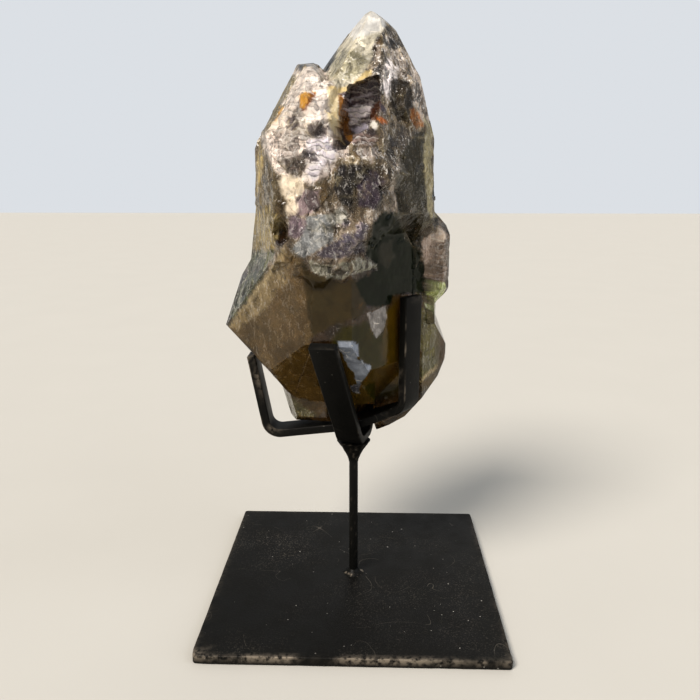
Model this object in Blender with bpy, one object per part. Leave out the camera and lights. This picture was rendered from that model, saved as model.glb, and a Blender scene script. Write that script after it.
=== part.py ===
"""Elestial smoky quartz point held in a welded black steel stand.

Run it with: blender --background --python part.py

The row frame is metres, +Z up, with its origin under the middle of the base plate. Lengths
below are millimetres and MM turns them to metres. The stone is a parallel growth of quartz
individuals. Each one is the space inside a set of flat faces, and a face is given by
(azimuth, dip, distance): azimuth is the compass direction it looks to, in degrees from +X
towards +Y, dip is how far it looks up (down if negative), and distance is how far it lies
from the centre of its own individual.
"""

import math
import random

import bmesh
import bpy
from mathutils import Vector

MM = 0.001

# base plate, rod and welds
PLATE_SIDE = 101.6
PLATE_THICK = 3.2
PLATE_EDGE = 0.4
ROD_RADIUS = 1.6
ROD_X = -0.5
ROD_TOP = 48.3
JOINT_GAP = 0.3
FOOT_WELD = [(2.0, 2.6), (2.3, 1.9), (2.9, 0.9), (3.6, 0.0)]
HUB_WELD = [(2.0, 48.6), (2.3, 50.2), (3.2, 52.0), (4.6, 54.0), (5.9, 56.0), (6.2, 57.0)]

# flat bar of the two bent straps
STRAP_WIDTH = 9.2
STRAP_THICK = 3.0
STRAP_EDGE = 0.45
BEND_RADIUS = 5.0
BEND_STEPS = 5

# quartz: the six prism faces and the slope of the rhombohedral faces
FRONT, FRONT_RIGHT, BACK_RIGHT, BACK, BACK_LEFT, FRONT_LEFT = -97, -37, 23, 83, 143, -157
AROUND = (FRONT, FRONT_RIGHT, BACK_RIGHT, BACK, BACK_LEFT, FRONT_LEFT)
RHOMB_DIP = 38.2
STONE_SEED = 41


# ---------------------------------------------------------------- quartz faces


def normal(azimuth, dip=0.0):
    a = math.radians(azimuth)
    d = math.radians(dip)
    return Vector((math.cos(d) * math.cos(a), math.cos(d) * math.sin(a), math.sin(d)))


def prism(distances):
    """Upright faces at the six azimuths; None leaves a face out."""
    return [(a, 0.0, d) for a, d in zip(AROUND, distances) if d is not None]


def point(heights, dip=RHOMB_DIP):
    """Upper faces that cross the individual's own axis at these heights over its centre."""
    rise = math.sin(math.radians(dip))
    return [(a, dip, h * rise) for a, h in zip(AROUND, heights) if h is not None]


def foot(depths, dip=RHOMB_DIP):
    """Lower faces that cross the axis at these depths under the centre."""
    rise = math.sin(math.radians(dip))
    return [(a, -dip, h * rise) for a, h in zip(AROUND, depths) if h is not None]


def through(centre, azimuth, dip, *places):
    """One face with this direction that passes midway through the given places."""
    n = normal(azimuth, dip)
    reach = [n.dot(Vector(p) - Vector(centre)) for p in places]
    return (azimuth, dip, sum(reach) / len(reach))


def plate(azimuth, distance, along, height, width, rise, drop, corners, depth=5.0):
    """A thin overgrowth on an upright face, its outer side at distance from the stone's axis.

    width is (left, right) and corners is (upper left, upper right, lower left, lower right),
    where the slanting edges would cross the plate's own middle line; None leaves one out.
    """
    n = normal(azimuth)
    side = Vector((-n.y, n.x, 0.0))
    centre = n * (distance - depth) + side * along + Vector((0, 0, height))
    c = math.cos(math.radians(RHOMB_DIP))
    s = math.sin(math.radians(RHOMB_DIP))
    half = math.cos(math.radians(30))
    faces = [
        (azimuth, 0.0, depth),
        (azimuth + 180, 0.0, depth),
        (azimuth - 60, 0.0, 0.5 * depth + half * width[0]),
        (azimuth + 60, 0.0, 0.5 * depth + half * width[1]),
        (azimuth, RHOMB_DIP, c * depth + s * rise),
        (azimuth, -RHOMB_DIP, c * depth + s * drop),
    ]
    turns = ((-60, RHOMB_DIP), (60, RHOMB_DIP), (-60, -RHOMB_DIP), (60, -RHOMB_DIP))
    for (turn, dip), cross in zip(turns, corners):
        if cross is not None:
            faces.append((azimuth + turn, dip, 0.5 * c * depth + s * cross))
    return centre, faces


# ---------------------------------------------------------------- the stone's individuals


def main_individuals():
    """The large crystals that give the stone its outline."""
    lower = (0, 0, 110)
    upper = (-4, 2, 140)
    right_peak = (3.5, 1, 150)
    left_peak = (-16, -2, 150)
    left_corner = (-18, 0, 100)
    left_foot = (-16, 5, 78)
    right_side = (26, 11, 120.5)
    right_corner = (18, 14, 90)
    corner_tip = (34.4, 16, 86.4)
    return [
        (lower, prism([27.2, 16.1, 25.5, 28, 24, 22])
         + [through(lower, -127, -4, (-14.6, -26.1, 110)), (-7, 0, 23.2), (0, -90, 43.8)]
         + point([60, 49, 40, 44, 40, 40]) + foot([46.6, 42.0, 50, 50, 48, None])
         + [through(lower, FRONT_LEFT, -45, (-24, 4, 68))]),
        (upper, [(FRONT, 2, 27.6), (BACK, 4, 25)]
         + [through(upper, FRONT_RIGHT, 3, (24.3, 6.5, 130)), through(upper, BACK_RIGHT, 3, (26, 9.5, 150))]
         + [through(upper, a, 7, (-37.7, 5, 117), (-33.5, 5, 147)) for a in (BACK_LEFT, FRONT_LEFT)]
         + point([44, 44, 44, 42, 40, 40])
         + [(FRONT, -50, 30), (FRONT_RIGHT, -38, 30), (BACK_RIGHT, -38, 33), (BACK, -38, 38),
            (BACK_LEFT, -45, 38), (FRONT_LEFT, -50, 33)]),
        (right_peak, prism([25, 19.5, 19.5, 22, 18, 20]) + point([56, None, None, 50.5, 57, 51.6], 34)
         + [(a, dip, d) for a in (FRONT_RIGHT, BACK_RIGHT) for dip, d in ((26, 27.4), (13, 21.8))]
         + [(BACK, 14, 22.5), (-20, 49, 40.6), (40, 82, 50.3), (0, -90, 24)]
         + [(FRONT, -38.2, 26.5), (FRONT_RIGHT, -38.2, 22.3)]),
        (left_peak, prism([22, None, None, 18, 15.5, 15.3])
         + [(FRONT_LEFT, 27, 17.9), (BACK_LEFT, 27, 19.2), (FRONT, 38, 29.5), (BACK, 30, 24)]
         + [(-10, 16, 15.9), (FRONT, 78, 34.6), (FRONT_LEFT, 70, 35.6), (BACK_RIGHT, 50, 33)]
         + [(0, -90, 24), (FRONT_LEFT, -38.2, 24)]),
        (left_corner, [through(left_corner, -127, -4, (-15, -26.5, 110)), (FRONT_LEFT, 24, 23.7)]
         + [(173, 14, 25.9), (173, 34, 28.0), (173, -44, 19.0), (FRONT_LEFT, -RHOMB_DIP, 20.3)]
         + [(FRONT, 0, 24.6), (FRONT_RIGHT, 0, 25), (BACK_RIGHT, 0, 20), (BACK, 0, 17), (BACK_LEFT, 0, 22)]
         + [(BACK_LEFT, 30, 26.0), (BACK_LEFT, -44, 20), (BACK, 30, 22), (BACK, -40, 20)]
         + [(FRONT, -RHOMB_DIP, 20.4), (0, -90, 27)]),
        (left_foot, [(FRONT, 0, 11), (FRONT_RIGHT, 0, 12), (BACK_RIGHT, 0, 12), (BACK, 0, 12), (0, 90, 20)]
         + [through(left_foot, a, -14, (-25.8, 3, 73.4), (-23.2, 3, 65)) for a in (BACK_LEFT, FRONT_LEFT)]
         + [(FRONT, -50, 15), (FRONT_LEFT, -50, 15.5), (0, -90, 12.6)]),
        (right_side, prism([5.7, 7.4, 5.3, 8, 10, 10]) + point([20, 19.5, 20, 22, 22, 22])
         + foot([17, 18, 17, 17, 19, 19])),
        (right_corner, [(FRONT, 0, 8.6), (BACK, 0, 12), (BACK_LEFT, 0, 20), (FRONT_LEFT, 0, 22)]
         + [through(right_corner, FRONT_RIGHT, 0, (34.4, 18, 86))]
         + [through(right_corner, -7, 24, corner_tip, (28.3, 14, 101.4))]
         + [through(right_corner, -7, -22, corner_tip, (31.5, 14, 79.4))]
         + [through(right_corner, -7, -40, (31.5, 14, 79.4), (22.3, 14, 67.2))]
         + [through(right_corner, -7, -58, (22.3, 14, 67.2), (10.1, 14, 57.6))]
         + [(BACK_RIGHT, 30, 18), (BACK_RIGHT, -30, 17), (BACK_RIGHT, 0, 15.6), (BACK, 38, 20)]
         + [(BACK, -38, 20), (FRONT, -42, 26), (165, 0, 8.7), (0, -90, 33)]),
    ]


def etched_layer():
    """The raised, ragged layer over the front, and the ledges of the two peaks."""
    return [
        plate(FRONT, 28.6, -13, 143, (8, 9), 22, 19, (26, None, 17, 24)),
        plate(FRONT, 29.5, -5, 137, (8, 8), 20, 18, (22, 24, 24, 18)),
        plate(FRONT, 28.9, 3.5, 140, (7, 6), 16, 16.5, (None, 16, 26, 11)),
        plate(FRONT, 30.4, -8, 131, (6, 5), 8, 6.5, (9, None, None, 8)),
        plate(FRONT, 28.2, 4, 150, (9, 10), 10, 9, (None, 12, None, 10)),
        plate(FRONT, 29.3, -14, 157, (7, 6), 9, 6, (9, None, 8, None)),
        plate(FRONT, 27.6, -12, 166, (6, 5), 7, 6, (8, 8, 8, None)),
        plate(FRONT, 30.0, -1, 129, (5, 4.5), 5, 5, (6, None, None, 5)),
        plate(FRONT, 28.3, -17, 134, (4, 6), 7, 8, (8, None, 8, 9)),
        plate(FRONT, 28.0, -9, 122, (4, 5), 6, 3.5, (None, None, 5, 4)),
        plate(FRONT, 27.9, 0, 121.5, (5, 4), 6, 2.5, (None, None, 4, 3)),
        plate(FRONT_RIGHT, 20.4, 6, 160, (9, 6.5), 10, 14, (13, 10, None, 14)),
        plate(FRONT_RIGHT, 20.4, 11, 147, (5, 5.5), 12, 12, (15, 11, 14, 13)),
        plate(FRONT_RIGHT, 21.9, 2.5, 172, (6, 5), 7, 7, (9, 7, 8, None)),
        plate(FRONT_RIGHT, 18.0, 17, 132, (4, 4), 14, 9, (17, 16, 11, None)),
    ]


def scattered_growths(rng):
    """Small parallel growths over the sides and the back, placed by seeded chance.

    Each host is (azimuth, distance from the axis, range along the face, range of heights, count).
    """
    hosts = [
        (FRONT_LEFT, 30.4, (-14, 12), (122, 164), 9),
        (BACK_LEFT, 31.0, (-16, 14), (112, 160), 11),
        (BACK, 27.0, (-18, 22), (116, 168), 13),
        (BACK_RIGHT, 27.0, (-2, 13), (120, 168), 9),
        (BACK, 27.6, (10, 24), (96, 118), 3),
        (BACK_LEFT, 25.0, (-6, 8), (88, 108), 3),
    ]
    growths = []
    for azimuth, distance, sides, heights, count in hosts:
        for _ in range(count):
            width = rng.uniform(2.6, 7.0)
            tall = rng.uniform(3.0, 9.5)
            lift = rng.uniform(0.2, 2.4)
            corners = [tall * rng.uniform(0.9, 1.7) if rng.random() < 0.7 else None for _ in range(4)]
            growths.append(plate(
                azimuth, distance + lift, rng.uniform(*sides), rng.uniform(*heights),
                (width, width * rng.uniform(0.6, 1.3)), tall, tall * rng.uniform(0.7, 1.2), corners))
    return growths


def satellite_points(rng):
    """Small six-sided points that grow out of the shoulders, parallel to the large ones."""
    places = [
        (-27, 13, 154), (-19, 21, 160), (-6, 25, 163), (8, 23, 161), (17, 19, 156), (-28, 3, 151),
        (-12, 15, 172), (-22, 6, 170), (2, 21, 172), (22, 12, 164), (-33, 9, 128), (12, 20, 170),
        (-5, 12, 181), (15, 4, 178), (-18, -7, 171), (28, 12, 108), (-20, 24, 124), (24, 17, 128),
    ]
    growths = []
    for x, y, z in places:
        size = rng.uniform(2.6, 5.2)
        ring = [size * rng.uniform(0.75, 1.25) for _ in AROUND]
        tips = [size * rng.uniform(1.5, 2.1) for _ in AROUND]
        growths.append(((x, y, z), prism(ring) + point(tips) + [(0, -90, 9.0)]))
    return growths


TRIM_STEP = 1.4
OUTLINE = [
    (173, 7, (-37.9, 4, 117)), (173, 27, (-32.4, 3, 162.4)), (173, 40, (-20, 0, 184)), (-7, 3, (26.6, 4, 150)),
    (-7, 15, (24.8, 3, 168)), (-7, 32, (19.8, 2, 184)), (83, 8, (0, 29.5, 140)), (83, 30, (0, 24, 168)),
]


def inside_outline(growths, rng):
    """Trims small growths by wide planes near the large crystals' faces, so none stands proud."""
    trimmed = []
    for centre, faces in growths:
        limits = [through(centre, azimuth, dip, place) for azimuth, dip, place in OUTLINE]
        trimmed.append((centre, faces + [(a, dip, d - rng.uniform(0, TRIM_STEP)) for a, dip, d in limits]))
    return trimmed


def stone_growths():
    """Every quartz individual: the large ones first, then the overgrowths on them."""
    rng = random.Random(STONE_SEED)
    small = scattered_growths(rng) + satellite_points(rng)
    return main_individuals() + etched_layer() + inside_outline(small, rng)


def pockets():
    """The stepped hollow between the peaks and the smaller etched pits."""
    hollow = (1, -22, 169)
    left_wall = through(hollow, 180, 14, (-6.2, -24, 175), (-2.2, -24, 160))
    low_wall = through(hollow, -10, -36, (7.3, -24, 170), (-0.3, -24, 159.5))
    top_wall = through(hollow, -160, 70, (-5, -24, 175.2), (5.3, -24, 178.6))
    cuts = []
    for back, low, high in ((-12, 167, 180), (-15, 163, 168), (-18.5, 158, 164)):
        cuts.append((hollow, [
            (FRONT, 0, 12), through(hollow, BACK, 0, (1, back, 169)), left_wall, (0, 0, 6.6),
            low_wall, top_wall, (0, 90, high - hollow[2]), (0, -90, hollow[2] - low)]))
    pit = (-22.5, -26, 133.5)
    cuts.append((pit, [(FRONT, 0, 6), (BACK, 0, 4.5), (FRONT_LEFT, 0, 3), (FRONT_RIGHT, 0, 2.4)]
                 + point([5, 6, 5, 5, 5, 5]) + foot([5, 5, 5, 5, 5, 5])))
    window = (15.5, -19, 172.5)
    cuts.append((window, [(FRONT_RIGHT, 0, 6), (143, 0, 2.2), (FRONT, 0, 5), (23, 0, 4)]
                 + point([6, 7, 6, 7, 7, 7]) + foot([6, 6, 6, 6, 6, 6])))
    for x, y, z in ((-12, 27.5, 150), (10, 27.5, 138), (-28, 20, 136), (26, 14, 146)):
        cuts.append(((x, y, z), prism([4, 3.5, 4, 4, 3.5, 4]) + point([6] * 6) + foot([6] * 6)))
    return cuts


# ---------------------------------------------------------------- mesh tools


def material(name, colour, roughness, metallic=0.0, **shader):
    made = bpy.data.materials.new(name)
    made.use_nodes = True
    socket = made.node_tree.nodes["Principled BSDF"].inputs
    socket["Base Color"].default_value = (*colour, 1.0)
    socket["Roughness"].default_value = roughness
    socket["Metallic"].default_value = metallic
    for key, value in shader.items():
        socket[key.replace("_", " ")].default_value = value
    return made


def add_object(name, bm, surface=None, smooth_angle=None):
    mesh = bpy.data.meshes.new(name)
    bm.to_mesh(mesh)
    bm.free()
    made = bpy.data.objects.new(name, mesh)
    bpy.context.scene.collection.objects.link(made)
    if surface is not None:
        mesh.materials.append(surface)
    if smooth_angle is not None:
        mesh.shade_smooth()
        mesh.set_sharp_from_angle(angle=math.radians(smooth_angle))
    return made


def convex_body(centre, faces):
    """The block inside a set of faces: a large cube trimmed by each face's plane in turn."""
    bm = bmesh.new()
    bmesh.ops.create_cube(bm, size=0.3)
    bmesh.ops.translate(bm, vec=Vector(centre) * MM, verts=bm.verts)
    for azimuth, dip, distance in faces:
        n = normal(azimuth, dip)
        cut = bmesh.ops.bisect_plane(
            bm, geom=bm.verts[:] + bm.edges[:] + bm.faces[:], dist=1e-7,
            plane_co=(Vector(centre) + n * distance) * MM, plane_no=n, clear_outer=True)
        rim = [e for e in cut["geom_cut"] if isinstance(e, bmesh.types.BMEdge)]
        if rim:
            bmesh.ops.edgeloop_fill(bm, edges=rim)
    bmesh.ops.recalc_face_normals(bm, faces=bm.faces)
    return bm


def boolean(target, tools, operation):
    """Union or difference with every tool, applied; the tools are used up."""
    group = bpy.data.collections.new(operation)
    bpy.context.scene.collection.children.link(group)
    for tool in tools:
        bpy.context.scene.collection.objects.unlink(tool)
        group.objects.link(tool)
    step = target.modifiers.new(operation, "BOOLEAN")
    step.operation = operation
    step.operand_type = "COLLECTION"
    step.collection = group
    step.solver = "EXACT"
    graph = bpy.context.evaluated_depsgraph_get()
    result = bpy.data.meshes.new_from_object(target.evaluated_get(graph))
    target.modifiers.clear()
    target.data = result
    for tool in tools:
        bpy.data.objects.remove(tool)
    bpy.data.collections.remove(group)


def islands(bm):
    """The mesh's separate closed shells, as lists of vertices."""
    left = set(bm.verts)
    shells = []
    while left:
        edge_of_search = [left.pop()]
        shell = list(edge_of_search)
        while edge_of_search:
            near = [e.other_vert(v) for v in edge_of_search for e in v.link_edges]
            edge_of_search = [v for v in set(near) if v in left]
            left.difference_update(edge_of_search)
            shell.extend(edge_of_search)
        shells.append(shell)
    return shells


def clean(target, join=0.00001):
    """Keeps the outer shell, so the stone is solid inside, and joins points nearer than join."""
    bm = bmesh.new()
    bm.from_mesh(target.data)
    bmesh.ops.remove_doubles(bm, verts=bm.verts, dist=join)
    bmesh.ops.dissolve_degenerate(bm, edges=bm.edges, dist=join / 4)
    shells = sorted(islands(bm), key=len)
    for inner in shells[:-1]:
        bmesh.ops.delete(bm, geom=inner, context="VERTS")
    bmesh.ops.triangulate(bm, faces=bm.faces)
    bm.to_mesh(target.data)
    bm.free()


# ---------------------------------------------------------------- stand


def rounded_route(corners, turns):
    """A bent bar's middle line: straight runs joined by arcs, with the width's azimuth along it."""
    corners = [Vector(c) for c in corners]
    route = [(corners[0], turns[0])]
    for k in range(1, len(corners) - 1):
        back = (corners[k - 1] - corners[k]).normalized()
        ahead = (corners[k + 1] - corners[k]).normalized()
        half = back.angle(ahead) / 2
        run = BEND_RADIUS / math.tan(half)
        middle = corners[k] + (back + ahead).normalized() * (BEND_RADIUS / math.sin(half))
        first = (corners[k] + back * run - middle).normalized()
        last = (corners[k] + ahead * run - middle).normalized()
        for step in range(BEND_STEPS + 1):
            share = step / BEND_STEPS
            route.append((middle + first.slerp(last, share) * BEND_RADIUS, turns[k]))
    route.append((corners[-1], turns[-1]))
    return route


def flat_bar(name, route, surface):
    """A flat bar with eased edges carried along a route; widths turn with the azimuths given."""
    bm = bmesh.new()
    wide = STRAP_WIDTH / 2
    thick = STRAP_THICK / 2
    ease = STRAP_EDGE
    outline = [
        (wide, thick - ease), (wide - ease, thick), (-wide + ease, thick), (-wide, thick - ease),
        (-wide, -thick + ease), (-wide + ease, -thick), (wide - ease, -thick), (wide, -thick + ease),
    ]
    rings = []
    for k, (place, azimuth) in enumerate(route):
        ahead = route[min(k + 1, len(route) - 1)][0] - route[max(k - 1, 0)][0]
        across = normal(azimuth)
        across = (across - ahead * (across.dot(ahead) / ahead.length_squared)).normalized()
        up = ahead.cross(across).normalized()
        rings.append([bm.verts.new((place + across * a + up * b) * MM) for a, b in outline])
    for low, high in zip(rings, rings[1:]):
        for k in range(len(outline)):
            nxt = (k + 1) % len(outline)
            bm.faces.new((low[k], low[nxt], high[nxt], high[k]))
    bm.faces.new(rings[0])
    bm.faces.new(rings[-1])
    bmesh.ops.recalc_face_normals(bm, faces=bm.faces)
    return add_object(name, bm, surface, 35)


def turned(name, profile, sides, surface, bore=0.0, wobble=0.0, seed=0):
    """A weld bead: a profile of (radius, height) turned about the rod, with an uneven rim."""
    rng = random.Random(seed)
    reach = [1.0 + wobble * rng.uniform(-1, 1) for _ in range(sides)]
    profile = [(bore, profile[0][1])] + profile + [(bore, profile[-1][1])] if bore else profile
    bm = bmesh.new()
    rings = []
    for radius, height in profile:
        ring = []
        for k in range(sides):
            a = 2 * math.pi * k / sides
            r = radius * (reach[k] if radius > bore else 1.0)
            ring.append(bm.verts.new(Vector((ROD_X + r * math.cos(a), r * math.sin(a), height)) * MM))
        rings.append(ring)
    loops = list(zip(rings, rings[1:] + rings[:1])) if bore else list(zip(rings, rings[1:]))
    for low, high in loops:
        for k in range(sides):
            nxt = (k + 1) % sides
            bm.faces.new((low[k], low[nxt], high[nxt], high[k]))
    if not bore:
        bm.faces.new(rings[0])
        bm.faces.new(rings[-1])
    bmesh.ops.recalc_face_normals(bm, faces=bm.faces)
    return add_object(name, bm, surface, 40)


def build_stand():
    paint = material("satin_black_enamel_on_steel", (0.012, 0.012, 0.013), 0.42)
    weld = material("painted_weld_bead", (0.02, 0.019, 0.018), 0.5)

    bm = bmesh.new()
    bmesh.ops.create_cube(bm, size=1.0)
    bmesh.ops.scale(bm, vec=Vector((PLATE_SIDE, PLATE_SIDE, PLATE_THICK)) * MM, verts=bm.verts)
    bmesh.ops.translate(bm, vec=(0, 0, PLATE_THICK / 2 * MM), verts=bm.verts)
    add_object("base_plate", bm, paint, 30)
    edge = bpy.data.objects["base_plate"].modifiers.new("eased_edges", "BEVEL")
    edge.width = PLATE_EDGE * MM
    edge.segments = 2
    edge.limit_method = "ANGLE"

    bm = bmesh.new()
    length = ROD_TOP - PLATE_THICK - JOINT_GAP
    bmesh.ops.create_cone(
        bm, cap_ends=True, segments=24, radius1=ROD_RADIUS * MM, radius2=ROD_RADIUS * MM, depth=length * MM)
    bmesh.ops.translate(
        bm, vec=Vector((ROD_X, 0, PLATE_THICK + JOINT_GAP + length / 2)) * MM, verts=bm.verts)
    add_object("rod", bm, paint, 40)

    lift = PLATE_THICK + JOINT_GAP
    turned("foot_weld", [(r, h + lift) for r, h in reversed(FOOT_WELD)], 20, weld,
           bore=ROD_RADIUS + JOINT_GAP, wobble=0.12, seed=3)
    turned("hub_weld", HUB_WELD, 20, weld, wobble=0.07, seed=5)

    side_corners = [(-36.5, 0, 89.3), (-31.0, 0, 60.2), (-0.5, 0, 63.6), (13.5, -2.0, 69.2),
                    (18.9, -5.8, 71.6), (19.1, -6, 111.0)]
    side_turns = [90, 90, 90, 78, 54, 50]
    flat_bar("side_strap", rounded_route(side_corners, side_turns), paint)

    front_corners = [(-9.6, -29.0, 98.8), (-1.5, -5.6, 58.9), (1.5, 5.6, 58.9),
                     (7.9, 30.2, 94.0), (8.3, 31.4, 104.0)]
    front_turns = [-15] * len(front_corners)
    flat_bar("cross_strap", rounded_route(front_corners, front_turns), paint)


# ---------------------------------------------------------------- stone


def build_stone():
    quartz = material("smoky_quartz", (0.36, 0.25, 0.16), 0.12, Transmission_Weight=0.85, IOR=1.544)
    first, *others = [add_object("growth", convex_body(*g)) for g in stone_growths()]
    boolean(first, others, "UNION")
    boolean(first, [add_object("pocket", convex_body(*p)) for p in pockets()], "DIFFERENCE")
    clean(first)
    first.name = "quartz_crystal"
    first.data.materials.clear()
    first.data.materials.append(quartz)


def main():
    for old in list(bpy.data.objects):
        bpy.data.objects.remove(old)
    build_stand()
    build_stone()


if __name__ == "__main__":
    main()
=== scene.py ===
"""Elestial smoky quartz held in a welded black steel stand.

The file is laid out as an add-on and run as a script. Lengths in the shape functions are
millimetres; MM turns them to metres when a mesh is written. The stone is made of parallel quartz
individuals: each is the space inside a set of flat faces, and a face is (azimuth, dip, distance)
from the individual's own centre, as azimuth from +X towards +Y and dip above level, in degrees.
"""

import math
import random

import bpy
import numpy as np
from bpy.props import FloatProperty, FloatVectorProperty, IntProperty, PointerProperty
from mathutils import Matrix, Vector


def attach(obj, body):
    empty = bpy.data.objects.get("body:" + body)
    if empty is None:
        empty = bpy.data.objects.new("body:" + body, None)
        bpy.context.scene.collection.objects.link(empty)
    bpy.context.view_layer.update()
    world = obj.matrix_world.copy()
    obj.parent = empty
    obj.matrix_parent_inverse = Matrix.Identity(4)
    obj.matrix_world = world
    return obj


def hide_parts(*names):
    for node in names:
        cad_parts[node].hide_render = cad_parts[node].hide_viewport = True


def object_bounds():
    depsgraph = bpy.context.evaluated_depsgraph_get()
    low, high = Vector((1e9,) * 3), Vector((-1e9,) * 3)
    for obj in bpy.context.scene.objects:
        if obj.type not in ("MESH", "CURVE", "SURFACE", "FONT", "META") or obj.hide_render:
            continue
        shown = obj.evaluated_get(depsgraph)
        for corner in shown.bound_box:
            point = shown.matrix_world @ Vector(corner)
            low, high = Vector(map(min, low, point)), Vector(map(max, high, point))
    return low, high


bl_info = {
    "name": "Elestial Quartz on a Steel Stand",
    "version": (1, 0, 0),
    "blender": (4, 5, 0),
    "location": "View3D > Sidebar > Quartz",
    "description": "Builds a smoky elestial quartz, its welded stand and a plain stage",
    "category": "Object",
}

MM = 0.001
BODY = "root"
# a Map Range node that eases between its ends
SMOOTH = {"interpolation_type": "SMOOTHSTEP"}

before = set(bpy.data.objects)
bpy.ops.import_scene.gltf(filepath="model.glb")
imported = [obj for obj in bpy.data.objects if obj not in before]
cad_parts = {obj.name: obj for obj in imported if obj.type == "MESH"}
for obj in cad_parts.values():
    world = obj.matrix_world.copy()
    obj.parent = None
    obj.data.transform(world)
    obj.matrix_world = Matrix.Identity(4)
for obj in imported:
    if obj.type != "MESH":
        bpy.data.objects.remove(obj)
CAD_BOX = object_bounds()


# ---------------------------------------------------------------- colour and mesh tools


def linear(code, alpha=1.0):
    """An sRGB hex colour as the linear red, green, blue and alpha that shaders take."""
    parts = [int(code[k:k + 2], 16) / 255 for k in (0, 2, 4)]
    return (*[c / 12.92 if c <= 0.04045 else ((c + 0.055) / 1.055) ** 2.4 for c in parts], alpha)


def write_mesh(name, points, triangles, surface, sharp_angle, fields=None):
    """A mesh object from points in millimetres and triangles, with smooth faces and named fields."""
    mesh = bpy.data.meshes.new(name)
    triangles = np.ascontiguousarray(triangles, dtype=np.int32)
    count = len(triangles)
    mesh.vertices.add(len(points))
    mesh.vertices.foreach_set("co", (points * MM).astype(np.float32).ravel())
    mesh.loops.add(count * 3)
    mesh.loops.foreach_set("vertex_index", triangles.ravel())
    mesh.polygons.add(count)
    mesh.polygons.foreach_set("loop_start", np.arange(count, dtype=np.int32) * 3)
    mesh.polygons.foreach_set("use_smooth", np.ones(count, dtype=bool))
    mesh.update(calc_edges=True)
    mesh.validate()
    mesh.set_sharp_from_angle(angle=math.radians(sharp_angle))
    for key, values in (fields or {}).items():
        if values.ndim == 2:
            colour = np.concatenate([values, np.ones((len(values), 1))], axis=1).astype(np.float32)
            mesh.attributes.new(key, "FLOAT_COLOR", "POINT").data.foreach_set("color", colour.ravel())
        else:
            values = values.astype(np.float32)
            mesh.attributes.new(key, "FLOAT", "POINT").data.foreach_set("value", values)
    mesh.materials.append(surface)
    made = bpy.data.objects.new(name, mesh)
    bpy.context.scene.collection.objects.link(made)
    return made


def tube_triangles(rings, around):
    """Triangles of a closed tube of rings, with two last points as the caps' centres."""
    ring, step = np.meshgrid(np.arange(rings - 1), np.arange(around), indexing="ij")
    a = ring * around + step
    b = ring * around + (step + 1) % around
    c, d = b + around, a + around
    sides = np.concatenate([np.stack([a, b, c], -1).reshape(-1, 3), np.stack([a, c, d], -1).reshape(-1, 3)])
    step = np.arange(around)
    after = (step + 1) % around
    first, last = rings * around, rings * around + 1
    start = np.stack([np.full(around, first), after, step], -1)
    base = (rings - 1) * around
    end = np.stack([np.full(around, last), base + step, base + after], -1)
    return np.concatenate([sides, start, end])


def cloud(points, size, seed, octaves=2):
    """Smooth noise from -1 to 1.

    Random values sit at the corners of cubes of the given size and are eased between the
    corners; each further octave adds half as much at half the size.
    """
    total = np.zeros(len(points))
    weight, whole = 1.0, 0.0
    for octave in range(octaves):
        place = points / size * 2.0 ** octave + seed * 7.31
        cell = np.floor(place).astype(np.int64)
        part = place - cell
        part = part * part * (3 - 2 * part)
        value = np.zeros(len(points))
        for corner in range(8):
            offset = np.array([corner & 1, corner >> 1 & 1, corner >> 2 & 1])
            key = cell + offset
            mixed = (key[:, 0] * 73856093) ^ (key[:, 1] * 19349663) ^ (key[:, 2] * 83492791)
            mixed = (mixed + seed * 7919 + octave * 104729) & 0x7FFFFFFF
            mixed = ((mixed ^ (mixed >> 13)) * 1274126177) & 0x7FFFFFFF
            mixed = (mixed ^ (mixed >> 11)) & 0xFFFF
            value += (mixed / 32767.5 - 1) * np.prod(np.where(offset, part, 1 - part), axis=1)
        total += weight * value
        whole += weight
        weight *= 0.5
    return total / whole


def ease(values, low, high):
    """Zero up to low, one from high, and a smooth rise between."""
    t = np.clip((values - low) / (high - low), 0, 1)
    return t * t * (3 - 2 * t)


# ---------------------------------------------------------------- quartz individuals

FRONT, FRONT_RIGHT, BACK_RIGHT, BACK, BACK_LEFT, FRONT_LEFT = -97, -37, 23, 83, 143, -157
AROUND = (FRONT, FRONT_RIGHT, BACK_RIGHT, BACK, BACK_LEFT, FRONT_LEFT)
RHOMB_DIP = 38.2


def facing(azimuth, dip=0.0):
    """The unit vector a face looks along."""
    a, d = math.radians(azimuth), math.radians(dip)
    return np.array([math.cos(d) * math.cos(a), math.cos(d) * math.sin(a), math.sin(d)])


def prism(distances):
    """Upright faces at the six azimuths; None leaves a face out."""
    return [(a, 0.0, d) for a, d in zip(AROUND, distances) if d is not None]


def point(heights, dip=RHOMB_DIP):
    """Upper faces that cross the individual's own axis at these heights over its centre."""
    rise = math.sin(math.radians(dip))
    return [(a, dip, h * rise) for a, h in zip(AROUND, heights) if h is not None]


def foot(depths, dip=RHOMB_DIP):
    """Lower faces that cross the axis at these depths under the centre."""
    rise = math.sin(math.radians(dip))
    return [(a, -dip, h * rise) for a, h in zip(AROUND, depths) if h is not None]


def through(centre, azimuth, dip, *places):
    """One face with this direction that passes midway through the given places."""
    n = facing(azimuth, dip)
    reach = [float(n @ (np.array(p) - np.array(centre))) for p in places]
    return (azimuth, dip, sum(reach) / len(reach))


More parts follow.
